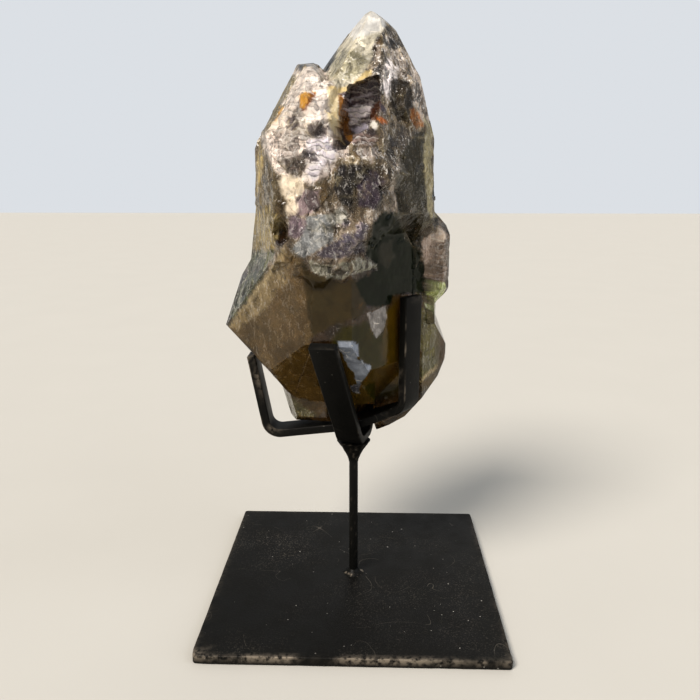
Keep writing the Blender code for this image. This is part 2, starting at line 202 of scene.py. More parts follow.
def plate(azimuth, distance, along, height, width, rise, drop, corners, depth=5.0):
    """A thin overgrowth on an upright face, its outer side at distance from the stone's axis.

    width is (left, right) and corners is (upper left, upper right, lower left, lower right),
    where the slanting edges would cross the plate's own middle line; None leaves one out.
    """
    n = facing(azimuth)
    side = np.array([-n[1], n[0], 0.0])
    centre = n * (distance - depth) + side * along + np.array([0, 0, height])
    c, s = math.cos(math.radians(RHOMB_DIP)), math.sin(math.radians(RHOMB_DIP))
    half = math.cos(math.radians(30))
    faces = [
        (azimuth, 0.0, depth),
        (azimuth + 180, 0.0, depth),
        (azimuth - 60, 0.0, 0.5 * depth + half * width[0]),
        (azimuth + 60, 0.0, 0.5 * depth + half * width[1]),
        (azimuth, RHOMB_DIP, c * depth + s * rise),
        (azimuth, -RHOMB_DIP, c * depth + s * drop),
    ]
    turns = ((-60, RHOMB_DIP), (60, RHOMB_DIP), (-60, -RHOMB_DIP), (60, -RHOMB_DIP))
    for (turn, dip), cross in zip(turns, corners):
        if cross is not None:
            faces.append((azimuth + turn, dip, 0.5 * c * depth + s * cross))
    return centre, faces


def main_individuals():
    """The large crystals that give the stone its outline."""
    lower = (0, 0, 110)
    upper = (-4, 2, 140)
    right_peak = (3.5, 1, 150)
    left_peak = (-16, -2, 150)
    left_corner = (-18, 0, 100)
    left_foot = (-16, 5, 78)
    right_side = (26, 11, 120.5)
    right_corner = (18, 14, 90)
    corner_tip = (34.4, 16, 86.4)
    return [
        (lower, prism([27.2, 16.1, 25.5, 28, 24, 22])
         + [through(lower, -127, -4, (-14.6, -26.1, 110)), (-7, 0, 23.2), (0, -90, 43.8)]
         + point([60, 49, 40, 44, 40, 40]) + foot([46.6, 42.0, 50, 50, 48, None])
         + [through(lower, FRONT_LEFT, -45, (-24, 4, 68))]),
        (upper, [(FRONT, 2, 27.6), (BACK, 4, 25)]
         + [through(upper, FRONT_RIGHT, 3, (24.3, 6.5, 130)), through(upper, BACK_RIGHT, 3, (26, 9.5, 150))]
         + [through(upper, a, 7, (-37.7, 5, 117), (-33.5, 5, 147)) for a in (BACK_LEFT, FRONT_LEFT)]
         + point([44, 44, 44, 42, 40, 40])
         + [(FRONT, -50, 30), (FRONT_RIGHT, -38, 30), (BACK_RIGHT, -38, 33), (BACK, -38, 38),
            (BACK_LEFT, -45, 38), (FRONT_LEFT, -50, 33)]),
        (right_peak, prism([25, 19.5, 19.5, 22, 18, 20]) + point([56, None, None, 50.5, 57, 51.6], 34)
         + [(a, dip, d) for a in (FRONT_RIGHT, BACK_RIGHT) for dip, d in ((26, 27.4), (13, 21.8))]
         + [(BACK, 14, 22.5), (-20, 49, 40.6), (40, 82, 50.3), (0, -90, 24)]
         + [(FRONT, -38.2, 26.5), (FRONT_RIGHT, -38.2, 22.3)]),
        (left_peak, prism([22, None, None, 18, 15.5, 15.3])
         + [(FRONT_LEFT, 27, 17.9), (BACK_LEFT, 27, 19.2), (FRONT, 38, 29.5), (BACK, 30, 24)]
         + [(-10, 16, 15.9), through(left_peak, -10, 45, (-13, -6, 184.4), (-10, -10, 180.6))]
         + [(FRONT, 78, 34.6), (FRONT_LEFT, 70, 35.6), (BACK_RIGHT, 50, 33)]
         + [(0, -90, 24), (FRONT_LEFT, -38.2, 24)]),
        (left_corner, [through(left_corner, -127, -4, (-15, -26.5, 110)), (FRONT_LEFT, 24, 23.7)]
         + [(173, 14, 25.9), (173, 34, 28.0), (173, -44, 19.0), (FRONT_LEFT, -RHOMB_DIP, 20.3)]
         + [(FRONT, 0, 24.6), (FRONT_RIGHT, 0, 25), (BACK_RIGHT, 0, 20), (BACK, 0, 17), (BACK_LEFT, 0, 22)]
         + [(BACK_LEFT, 30, 26.0), (BACK_LEFT, -44, 20), (BACK, 30, 22), (BACK, -40, 20)]
         + [(FRONT, -RHOMB_DIP, 20.4), (0, -90, 27)]),
        (left_foot, [(FRONT, 0, 11), (FRONT_RIGHT, 0, 12), (BACK_RIGHT, 0, 12), (BACK, 0, 12), (0, 90, 20)]
         + [through(left_foot, a, -14, (-25.8, 3, 73.4), (-23.2, 3, 65)) for a in (BACK_LEFT, FRONT_LEFT)]
         + [(FRONT, -50, 15), (FRONT_LEFT, -50, 15.5), (0, -90, 12.6)]),
        (right_side, prism([5.7, 7.4, 5.3, 8, 10, 10]) + point([20, 19.5, 20, 22, 22, 22])
         + foot([17, 18, 17, 17, 19, 19])),
        (right_corner, [(FRONT, 0, 8.6), (BACK, 0, 12), (BACK_LEFT, 0, 20), (FRONT_LEFT, 0, 22)]
         + [through(right_corner, FRONT_RIGHT, 0, (34.4, 18, 86))]
         + [through(right_corner, -7, 24, corner_tip, (28.3, 14, 101.4))]
         + [through(right_corner, -7, -22, corner_tip, (31.5, 14, 79.4))]
         + [through(right_corner, -7, -40, (31.5, 14, 79.4), (22.3, 14, 67.2))]
         + [through(right_corner, -7, -58, (22.3, 14, 67.2), (10.1, 14, 57.6))]
         + [(BACK_RIGHT, 30, 18), (BACK_RIGHT, -30, 17), (BACK_RIGHT, 0, 15.6), (BACK, 38, 20)]
         + [(BACK, -38, 20), (FRONT, -42, 26), (165, 0, 8.7), (0, -90, 33)]),
    ]


def etched_layer():
    """The raised, ragged layer over the front, and the ledges of the two peaks."""
    return [
        plate(FRONT, 28.6, -13, 143, (8, 9), 22, 19, (26, None, 17, 24)),
        plate(FRONT, 29.5, -5, 137, (8, 8), 20, 18, (22, 24, 24, 18)),
        plate(FRONT, 28.9, 3.5, 140, (7, 6), 16, 16.5, (None, 16, 26, 11)),
        plate(FRONT, 30.4, -8, 131, (6, 5), 8, 6.5, (9, None, None, 8)),
        plate(FRONT, 28.2, 4, 150, (9, 10), 10, 9, (None, 12, None, 10)),
        plate(FRONT, 29.3, -14, 157, (7, 6), 9, 6, (9, None, 8, None)),
        plate(FRONT, 27.6, -12, 166, (6, 5), 7, 6, (8, 8, 8, None)),
        plate(FRONT, 30.0, -1, 129, (5, 4.5), 5, 5, (6, None, None, 5)),
        plate(FRONT, 28.3, -17, 134, (4, 6), 7, 8, (8, None, 8, 9)),
        plate(FRONT, 28.0, -9, 122, (4, 5), 6, 3.5, (None, None, 5, 4)),
        plate(FRONT, 27.9, 0, 121.5, (5, 4), 6, 2.5, (None, None, 4, 3)),
        plate(FRONT_RIGHT, 20.4, 6, 160, (9, 6.5), 10, 14, (13, 10, None, 14)),
        plate(FRONT_RIGHT, 20.4, 11, 147, (5, 5.5), 12, 12, (15, 11, 14, 13)),
        plate(FRONT_RIGHT, 21.9, 2.5, 172, (6, 5), 7, 7, (9, 7, 8, None)),
        plate(FRONT_RIGHT, 18.0, 17, 132, (4, 4), 14, 9, (17, 16, 11, None)),
    ]


def scattered_growths(rng):
    """Small parallel growths over the sides and the back, placed by seeded chance.

    Each host is (azimuth, distance from the axis, range along the face, range of heights, count).
    """
    hosts = [
        (FRONT_LEFT, 30.4, (-14, 12), (122, 164), 9),
        (BACK_LEFT, 31.0, (-16, 14), (112, 160), 11),
        (BACK, 27.0, (-18, 22), (116, 168), 13),
        (BACK_RIGHT, 27.0, (-2, 13), (120, 168), 9),
        (BACK, 27.6, (10, 24), (96, 118), 3),
        (BACK_LEFT, 25.0, (-6, 8), (88, 108), 3),
    ]
    growths = []
    for azimuth, distance, sides, heights, count in hosts:
        for _ in range(count):
            width = rng.uniform(2.6, 7.0)
            tall = rng.uniform(3.0, 9.5)
            lift = rng.uniform(0.2, 2.4)
            corners = [tall * rng.uniform(0.9, 1.7) if rng.random() < 0.7 else None for _ in range(4)]
            growths.append(plate(
                azimuth, distance + lift, rng.uniform(*sides), rng.uniform(*heights),
                (width, width * rng.uniform(0.6, 1.3)), tall, tall * rng.uniform(0.7, 1.2), corners))
    return growths


def satellite_points(rng):
    """Small six-sided points that grow out of the shoulders, parallel to the large ones."""
    places = [
        (-27, 13, 154), (-19, 21, 160), (-6, 25, 163), (8, 23, 161), (17, 19, 156), (-28, 3, 151),
        (-12, 15, 172), (-22, 6, 170), (2, 21, 172), (22, 12, 164), (-33, 9, 128), (12, 20, 170),
        (-5, 12, 181), (15, 4, 178), (-18, -7, 171), (28, 12, 108), (-20, 24, 124), (24, 17, 128),
    ]
    growths = []
    for x, y, z in places:
        size = rng.uniform(2.6, 5.2)
        ring = [size * rng.uniform(0.75, 1.25) for _ in AROUND]
        tips = [size * rng.uniform(1.5, 2.1) for _ in AROUND]
        growths.append(((x, y, z), prism(ring) + point(tips) + [(0, -90, 9.0)]))
    return growths


# wide planes just over the large crystals, as azimuth, dip and a place on the plane
OUTLINE = [
    (173, 7, (-37.9, 4, 117)), (173, 27, (-32.4, 3, 162.4)), (173, 40, (-20, 0, 184)),
    (-7, 3, (26.6, 4, 150)), (-7, 15, (24.8, 3, 168)), (-7, 32, (19.8, 2, 184)),
    (83, 8, (0, 29.5, 140)), (83, 30, (0, 24, 168)),
]
# a growth's own planes stand up to this much farther in, in mm, so that trimmed tips differ
TRIM_STEP = 1.4


def inside_outline(growths, rng):
    """Trims small growths by wide planes near the large crystals' faces, so none stands proud."""
    trimmed = []
    for centre, faces in growths:
        limits = [through(centre, *limit) for limit in OUTLINE]
        limits = [(azimuth, dip, reach - rng.uniform(0, TRIM_STEP)) for azimuth, dip, reach in limits]
        trimmed.append((centre, faces + limits))
    return trimmed


def pockets():
    """The stepped hollow between the peaks and the smaller etched pits."""
    hollow = (1, -22, 169)
    left_wall = through(hollow, 180, 14, (-6.2, -24, 175), (-2.2, -24, 160))
    low_wall = through(hollow, -10, -36, (7.3, -24, 170), (-0.3, -24, 159.5))
    top_wall = through(hollow, -160, 70, (-5, -24, 175.2), (5.3, -24, 178.6))
    cuts = []
    for back, low, high in ((-12, 167, 180), (-15, 163, 168), (-18.5, 158, 164)):
        cuts.append((hollow, [
            (FRONT, 0, 12), through(hollow, BACK, 0, (1, back, 169)), left_wall, (0, 0, 6.6),
            low_wall, top_wall, (0, 90, high - hollow[2]), (0, -90, hollow[2] - low)]))
    pit = (-22.5, -26, 133.5)
    cuts.append((pit, [(FRONT, 0, 6), (BACK, 0, 4.5), (FRONT_LEFT, 0, 3), (FRONT_RIGHT, 0, 2.4)]
                 + point([5, 6, 5, 5, 5, 5]) + foot([5, 5, 5, 5, 5, 5])))
    window = (15.5, -19, 172.5)
    cuts.append((window, [(FRONT_RIGHT, 0, 6), (143, 0, 2.2), (FRONT, 0, 5), (23, 0, 4)]
                 + point([6, 7, 6, 7, 7, 7]) + foot([6, 6, 6, 6, 6, 6])))
    for x, y, z in ((-12, 27.5, 150), (10, 27.5, 138), (-28, 20, 136), (26, 14, 146)):
        cuts.append(((x, y, z), prism([4, 3.5, 4, 4, 3.5, 4]) + point([6] * 6) + foot([6] * 6)))
    return cuts


# ---------------------------------------------------------------- the stone's surface

# the line inside the stone that the rays start from, and how far they run on average, in mm
SPINE_MIDDLE = np.array([1.0, 6.0, 127.0])
SPINE_HALF = np.array([-5.0, -4.0, 44.0])
MEAN_REACH = 33.0
# the distance given to a face or ridge that isn't there
FAR = 1e6
# more faces than any one body has
MOST_FACES = 64
# two faces that meet at a smaller sine than this share no ridge
LEAST_SINE = 0.2
# a grid point moves onto an edge that is nearer than this share of the grid's spacing
EDGE_SHARE = 0.48
# the clear face in front, which bears no growths, as an outline in the front plan
SMOOTH_WINDOW = [
    (7, 137), (10, 139), (17, 139), (24, 127), (24, 111), (-1, 114), (8, 119.5), (3.5, 124), (5.5, 130)]
# fine growths keep this far from a ridge, in mm
CLEAR_OF_RIDGES = 1.2
# the share of them that are pits, and how much farther out a pit's own shape is set, in mm
PIT_SHARE = 0.22
PIT_OUT = 2.4
QUARTZ_FACES = [(a, dip) for a in AROUND for dip in (0.0, RHOMB_DIP, -RHOMB_DIP)]


def planes_of(body):
    """A body's face normals and how far each face's plane lies from the origin."""
    centre, faces = body
    normals = np.array([facing(azimuth, dip) for azimuth, dip, _ in faces])
    return normals, normals @ np.array(centre, float) + np.array([d for _, _, d in faces])


def spine_rays(around, along):
    """Starts and directions of rays that fan out of a leaning spine, one row for each tilt.

    A row at share s of the half spine, from -1 to 1, starts at the spine's middle plus s times
    its half. Its tilt t is the mean of s and s cubed, times a quarter turn, and its rays look
    along (cos t cos u, cos t sin u, sin t). The shares are spread so that rows are about evenly
    spaced on a capsule round the spine. The first and last rays are straight up and down.
    """
    dense = np.linspace(-1, 1, 2001)
    lean = (dense + dense ** 3) * math.pi / 4
    tall = np.linalg.norm(SPINE_HALF) * dense + MEAN_REACH * np.sin(lean)
    walked = np.concatenate([[0], np.cumsum(np.hypot(np.diff(tall), np.diff(MEAN_REACH * np.cos(lean))))])
    rows = (np.arange(along) + 0.5) / along * walked[-1]
    share = -np.interp(rows, walked, dense)
    turn = 2 * math.pi * np.arange(around) / around
    s, u = np.meshgrid(share, turn, indexing="ij")
    s, u = s.ravel(), u.ravel()
    t = (s + s ** 3) * math.pi / 4
    rays = np.stack([np.cos(t) * np.cos(u), np.cos(t) * np.sin(u), np.sin(t)], -1)
    rays = np.concatenate([rays, [[0, 0, 1], [0, 0, -1]]])
    starts = SPINE_MIDDLE + np.concatenate([s, [1, -1]])[:, None] * SPINE_HALF
    return starts, rays


def crossing(starts, rays, planes):
    """Where rays enter and leave a convex body, and the faces there: t = (plane - start.n) / (ray.n)."""
    normals, reach = planes
    speed = rays @ normals.T
    speed = np.where(np.abs(speed) < 1e-9, 1e-9, speed)
    t = (reach - starts @ normals.T) / speed
    leave = np.where(speed > 0, t, np.inf)
    enter = np.where(speed < 0, t, -np.inf)
    return enter.max(1), enter.argmax(1), leave.min(1), leave.argmin(1)


class Surface:
    """The stone's outer surface: how far along each ray it lies, and which body and face it is."""

    def __init__(self, around, along):
        self.around, self.along = around, along
        self.starts, self.rays = spine_rays(around, along)
        count = len(self.rays)
        self.reach = np.zeros(count)
        self.body = np.full(count, -1)
        self.face = np.full(count, -1)
        self.inward = np.zeros(count, dtype=bool)
        self.carved = np.zeros(count, dtype=bool)
        self.moved = np.zeros((count, 3))
        self.normals = []
        self.offsets = []

    @property
    def points(self):
        """Where the rays end, with the carved ones moved on."""
        return self.starts + self.rays * self.reach[:, None] + self.moved

    def keep(self, planes):
        """Files a body's planes and gives their place in the tables."""
        self.normals.append(planes[0])
        self.offsets.append(planes[1])
        return len(self.normals) - 1

    def near(self, body, radius):
        """Rays whose surface point lies within radius of the body's centre."""
        if radius is None:
            return np.arange(len(self.reach))
        gap = self.points - np.array(body[0], float)
        return np.nonzero((gap * gap).sum(1) < radius * radius)[0]

    def meet(self, body, radius, shift):
        """The rays near a body, the body's place in the tables, and where they enter and leave it."""
        who = self.near(body, radius)
        planes = planes_of(body)
        starts = self.starts[who] if shift is None else self.starts[who] + shift[who]
        return who, self.keep(planes), crossing(starts, self.rays[who], planes)

    def take(self, who, reach, index, face, inward):
        """Gives some rays a new reach, and the body and face that they now end on."""
        self.reach[who] = reach
        self.body[who] = index
        self.face[who] = face
        self.inward[who] = inward

    def add(self, body, radius=None, shift=None):
        """Takes the farther of the surface and the body's far side along each ray."""
        who, index, (enter, _, leave, face) = self.meet(body, radius, shift)
        hit = (leave > np.maximum(enter, 0)) & (leave > self.reach[who]) & ~self.carved[who]
        self.take(who[hit], leave[hit], index, face[hit], False)

    def cut(self, body, radius=None, shift=None):
        """Pushes the surface in to the near side of a hollow wherever it lies inside that hollow."""
        who, index, (enter, face, leave, _) = self.meet(body, radius, shift)
        hit = (enter < self.reach[who]) & (self.reach[who] < leave) & (enter > 0) & ~self.carved[who]
        self.take(who[hit], enter[hit], index, face[hit], True)

    def carve(self, bodies, azimuth):
        """Pushes points that lie inside any of the hollows level along azimuth to the farthest far side."""
        rays = np.broadcast_to(facing(azimuth), self.rays.shape)
        mouth = self.points
        deepest = np.zeros(len(mouth))
        for body in bodies:
            planes = planes_of(body)
            index = self.keep(planes)
            enter, _, leave, face = crossing(mouth, rays, planes)
            hit = (enter <= 0) & (leave > deepest)
            deepest[hit] = leave[hit]
            self.body[hit] = index
            self.face[hit] = face[hit]
        hit = deepest > 0
        self.moved[hit] += rays[hit] * deepest[hit, None]
        self.inward |= hit
        self.carved |= hit

    def tables(self):
        """All bodies' planes in two padded tables, the padding being planes far away."""
        most = max(len(o) for o in self.offsets)
        normals = np.zeros((len(self.offsets), most, 3))
        offsets = np.full((len(self.offsets), most), FAR)
        for k, (n, o) in enumerate(zip(self.normals, self.offsets)):
            normals[k, :len(o)] = n
            offsets[k, :len(o)] = o
        return normals, offsets

    def own_planes(self):
        """The normal and offset of the face that each ray ends on."""
        normals, offsets = self.tables()
        return normals[self.body, self.face], offsets[self.body, self.face]


def on_edge(points, first, second, third=None):
    """The nearest places to the points that lie on two or three planes at once."""
    rows = [first, second] if third is None else [first, second, third]
    matrix = np.stack([n for n, _ in rows], 1)
    wrong = np.stack([o - (n * points).sum(1) for n, o in rows], 1)
    return points + np.einsum("vij,vj->vi", np.linalg.pinv(matrix, rcond=1e-3), wrong)


def ridge_distances(surface, points):
    """How far each point is from the ridge that its own face makes with each face of its body."""
    normals, offsets = surface.tables()
    own_n, _ = surface.own_planes()
    others = normals[surface.body]
    gap = np.abs(offsets[surface.body] - np.einsum("vfk,vk->vf", others, points))
    turned = np.sqrt(np.clip(1 - np.einsum("vfk,vk->vf", others, own_n) ** 2, 0, 1))
    return np.where(turned > LEAST_SINE, gap / np.maximum(turned, LEAST_SINE), FAR)


def crisp_edges(surface, points):
    """Moves grid points that lie near an edge onto it, so that ridges and creases run straight.

    The distance to an edge is the distance to the other face's plane over the sine of the angle
    between both faces. A point moves when that is under about half the space between grid points.
    Returns the points and, for each, how far it was from the nearest ridge of its own body.
    """
    widest, pole_space, longest_move = 0.9, 0.5, 0.8
    normals, offsets = surface.tables()
    own_n, own_o = surface.own_planes()
    away = ridge_distances(surface, points)
    order = np.argsort(away, axis=1)[:, :2]
    rows = np.arange(len(points))
    near, next_near = away[rows, order[:, 0]], away[rows, order[:, 1]]
    grid = points[:-2].reshape(surface.along, surface.around, 3)
    step_round = np.linalg.norm(np.roll(grid, -1, 1) - np.roll(grid, 1, 1), axis=2) / 2
    step_along = np.linalg.norm(np.gradient(grid, axis=0), axis=2)
    space = np.minimum(np.minimum(step_round, step_along), widest).ravel()
    space = np.concatenate([space, [pole_space, pole_space]])
    moved = points.copy()

    def pick(column):
        """The planes of the ridge's other faces, by how near they are."""
        return normals[surface.body, order[:, column]], offsets[surface.body, order[:, column]]

    ridge = near < EDGE_SHARE * space
    corner = ridge & (next_near < EDGE_SHARE * space)
    plain = ridge & ~corner
    (n1, o1), (n2, o2) = pick(0), pick(1)
    moved[plain] = on_edge(points[plain], (own_n[plain], own_o[plain]), (n1[plain], o1[plain]))
    moved[corner] = on_edge(points[corner], (own_n[corner], own_o[corner]),
                            (n1[corner], o1[corner]), (n2[corner], o2[corner]))

    key = surface.body[:-2] * MOST_FACES + surface.face[:-2]
    places = np.arange(key.size).reshape(surface.along, surface.around)
    own_n_grid, own_o_grid = own_n[:-2], own_o[:-2]
    free = ~ridge[:-2]
    for axis, by in ((0, 1), (0, -1), (1, 1), (1, -1)):
        other = np.roll(places, by, axis)
        if axis == 0:
            end = 0 if by > 0 else -1
            other[end] = places[end]
        other = other.ravel()
        n, o = own_n_grid[other], own_o_grid[other]
        sine = np.sqrt(np.clip(1 - (n * own_n_grid).sum(1) ** 2, 0, 1))
        far = np.abs(o - (n * points[:-2]).sum(1)) / np.maximum(sine, LEAST_SINE)
        crease = free & (key != key[other]) & (sine > LEAST_SINE) & (far < EDGE_SHARE * space[:-2])
        who = np.nonzero(crease)[0]
        moved[who] = on_edge(points[who], (own_n_grid[who], own_o_grid[who]), (n[who], o[who]))
        free &= ~crease
    shift = moved - points
    length = np.linalg.norm(shift, axis=1)
    limit = longest_move * space
    moved = points + shift * np.minimum(1, limit / np.maximum(length, 1e-9))[:, None]
    return moved, near


def split_quads(surface, points):
    """Two triangles for each grid square, along the diagonal that bends less across an edge.

    A triangle's bend is the least, over the four corners' own planes, of its corners' greatest
    distance from that plane. The two poles close the ends with fans.
    """
    around, along = surface.around, surface.along
    normals, offsets = surface.own_planes()
    ring, step = np.meshgrid(np.arange(along - 1), np.arange(around), indexing="ij")
    a = (ring * around + step).ravel()
    b = (ring * around + (step + 1) % around).ravel()
    c, d = b + around, a + around
    corners = np.stack([a, b, c, d], 1)
    away = np.abs(offsets[corners][:, :, None]
                  - np.einsum("qpk,qvk->qpv", normals[corners], points[corners]))

    def bend(*three):
        return away[:, :, list(three)].max(2).min(1)

    cross = bend(0, 1, 2) + bend(0, 2, 3) <= bend(0, 1, 3) + bend(1, 2, 3)
    one = np.where(cross[:, None], np.stack([a, c, b], 1), np.stack([a, d, b], 1))
    two = np.where(cross[:, None], np.stack([a, d, c], 1), np.stack([b, d, c], 1))
    top, bottom = around * along, around * along + 1
    step = np.arange(around)
    after = (step + 1) % around
    base = (along - 1) * around
    cap = np.stack([np.full(around, top), step, after], 1)
    heel = np.stack([np.full(around, bottom), base + after, base + step], 1)
    return np.concatenate([one, two, cap, heel])


def parallel_growth(place, azimuth, dip, lift, wide, rng, depth=2.5):
    """A small individual, parallel to the large ones, whose face stands lift over a host face.

    Its other faces are the quartz faces more than 25 degrees from the host's, each at the
    distance that puts its edge about wide from the middle.
    """
    n = facing(azimuth, dip)
    faces = [(azimuth, dip, depth + lift)]
    for a, s in QUARTZ_FACES:
        along = float(facing(a, s) @ n)
        if abs(along) < 0.9:
            side = math.sqrt(1 - along * along)
            faces.append((a, s, along * depth + side * wide * rng.uniform(0.6, 1.5)))
    faces.append((azimuth + 180, -dip, depth))
    return tuple(np.array(place) - n * depth), faces


def fine_growths(surface, rng):
    """Hundreds of thin parallel plates and etch pits, thickest on the front's raised layer.

    Each sits on the face that the surface has at a randomly chosen grid point. Zones give
    (count, lowest, highest, facing side, least width, most width, least lift, most lift).
    """
    zones = [
        (120, 126, 170, FRONT, 1.0, 4.2, 0.1, 0.5),
        (45, 150, 182, FRONT_LEFT, 0.9, 3.0, 0.1, 0.5),
        (45, 150, 196, FRONT_RIGHT, 0.9, 2.8, 0.1, 0.5),
        (70, 100, 190, BACK, 1.2, 4.0, 0.12, 0.6),
        (45, 96, 176, BACK_LEFT, 1.2, 4.0, 0.1, 0.45),
        (45, 84, 186, BACK_RIGHT, 1.2, 3.6, 0.1, 0.45),
    ]
    points = surface.points
    own_n, _ = surface.own_planes()
    bare = inside(front_plan(points), SMOOTH_WINDOW) > -0.5
    bare |= ridge_distances(surface, points).min(1) < CLEAR_OF_RIDGES
    growths = []
    for count, low, high, side, thin, wide, least, most in zones:
        level = (points[:, 2] > low) & (points[:, 2] < high)
        looks = own_n @ facing(side) > 0.6
        choice = np.nonzero(level & looks & ~surface.inward & ~bare)[0]
        for _ in range(count):
            k = choice[rng.randrange(len(choice))]
            n = own_n[k]
            azimuth = math.degrees(math.atan2(n[1], n[0]))
            dip = math.degrees(math.asin(max(-1.0, min(1.0, n[2]))))
            lift = rng.uniform(least, most)
            centre, faces = parallel_growth(points[k], azimuth, dip, lift, rng.uniform(thin, wide), rng)
            faces += [through(centre, *limit) for limit in OUTLINE]
            growths.append(((centre, faces), rng.random() < PIT_SHARE))
    return growths


def stone_surface(around, along, seed):
    """The large individuals and their growths, then the hollows, then the fine plates and pits.

    Noise moves the rays' starts sideways where a growth is laid, so its edges come out ragged.
    """
    layer_reach, growth_reach, fine_reach = 26, 24, 6
    surface = Surface(around, along)
    rng = random.Random(seed)
    small = scattered_growths(rng) + satellite_points(rng)
    for body in main_individuals():
        surface.add(body)
    first = surface.points
    ragged = np.stack([cloud(first, 2.6, noise_seed, 2) for noise_seed in (3, 5, 7)], 1) * 0.55
    for body in etched_layer():
        surface.add(body, layer_reach, ragged)
    for body in inside_outline(small, rng):
        surface.add(body, growth_reach, ragged * 0.5)
    *steps, pit, window, pit_1, pit_2, pit_3, pit_4 = pockets()
    surface.carve(steps, BACK)
    surface.carve([pit], BACK)
    surface.carve([window], BACK_LEFT)
    for body in (pit_1, pit_2, pit_3, pit_4):
        surface.cut(body)
    surface.hollow = surface.inward.copy()
    for (centre, faces), sunk in fine_growths(surface, random.Random(seed + 1)):
        if sunk:
            azimuth, dip, _ = faces[0]
            centre = tuple(np.array(centre) + facing(azimuth, dip) * PIT_OUT)
            surface.cut((centre, faces), fine_reach, ragged * 0.4)
        else:
            surface.add((centre, faces), fine_reach, ragged * 0.6)
    return surface


# ---------------------------------------------------------------- the stone's colours

VIEWER = np.array([5.5, -245.9, 149.7])


def front_plan(points):
    """Width and height of points as drawn on the plane y = 0 by a viewer a forearm away in front."""
    scale = VIEWER[1] / (VIEWER[1] - points[:, 1])
    return np.stack([VIEWER[0] + (points[:, 0] - VIEWER[0]) * scale,
                     VIEWER[2] + (points[:, 2] - VIEWER[2]) * scale], 1)


def inside(plan, outline):
    """Signed distance to a closed outline: positive within, and the distance to its nearest side."""
    corners = np.array(outline, float)
    ahead = np.roll(corners, -1, 0)
    within = np.zeros(len(plan), dtype=bool)
    nearest = np.full(len(plan), 1e9)
    for (x0, z0), (x1, z1) in zip(corners, ahead):
        run = np.array([x1 - x0, z1 - z0])
        gap = plan - (x0, z0)
        share = np.clip(gap @ run / max(run @ run, 1e-9), 0, 1)
        nearest = np.minimum(nearest, np.linalg.norm(gap - share[:, None] * run, axis=1))
        crosses = (z0 > plan[:, 1]) != (z1 > plan[:, 1])
        lean = x0 + (plan[:, 1] - z0) * (x1 - x0) / (z1 - z0 if z1 != z0 else 1e-9)
        within ^= crosses & (plan[:, 0] < lean)
    return np.where(within, nearest, -nearest)


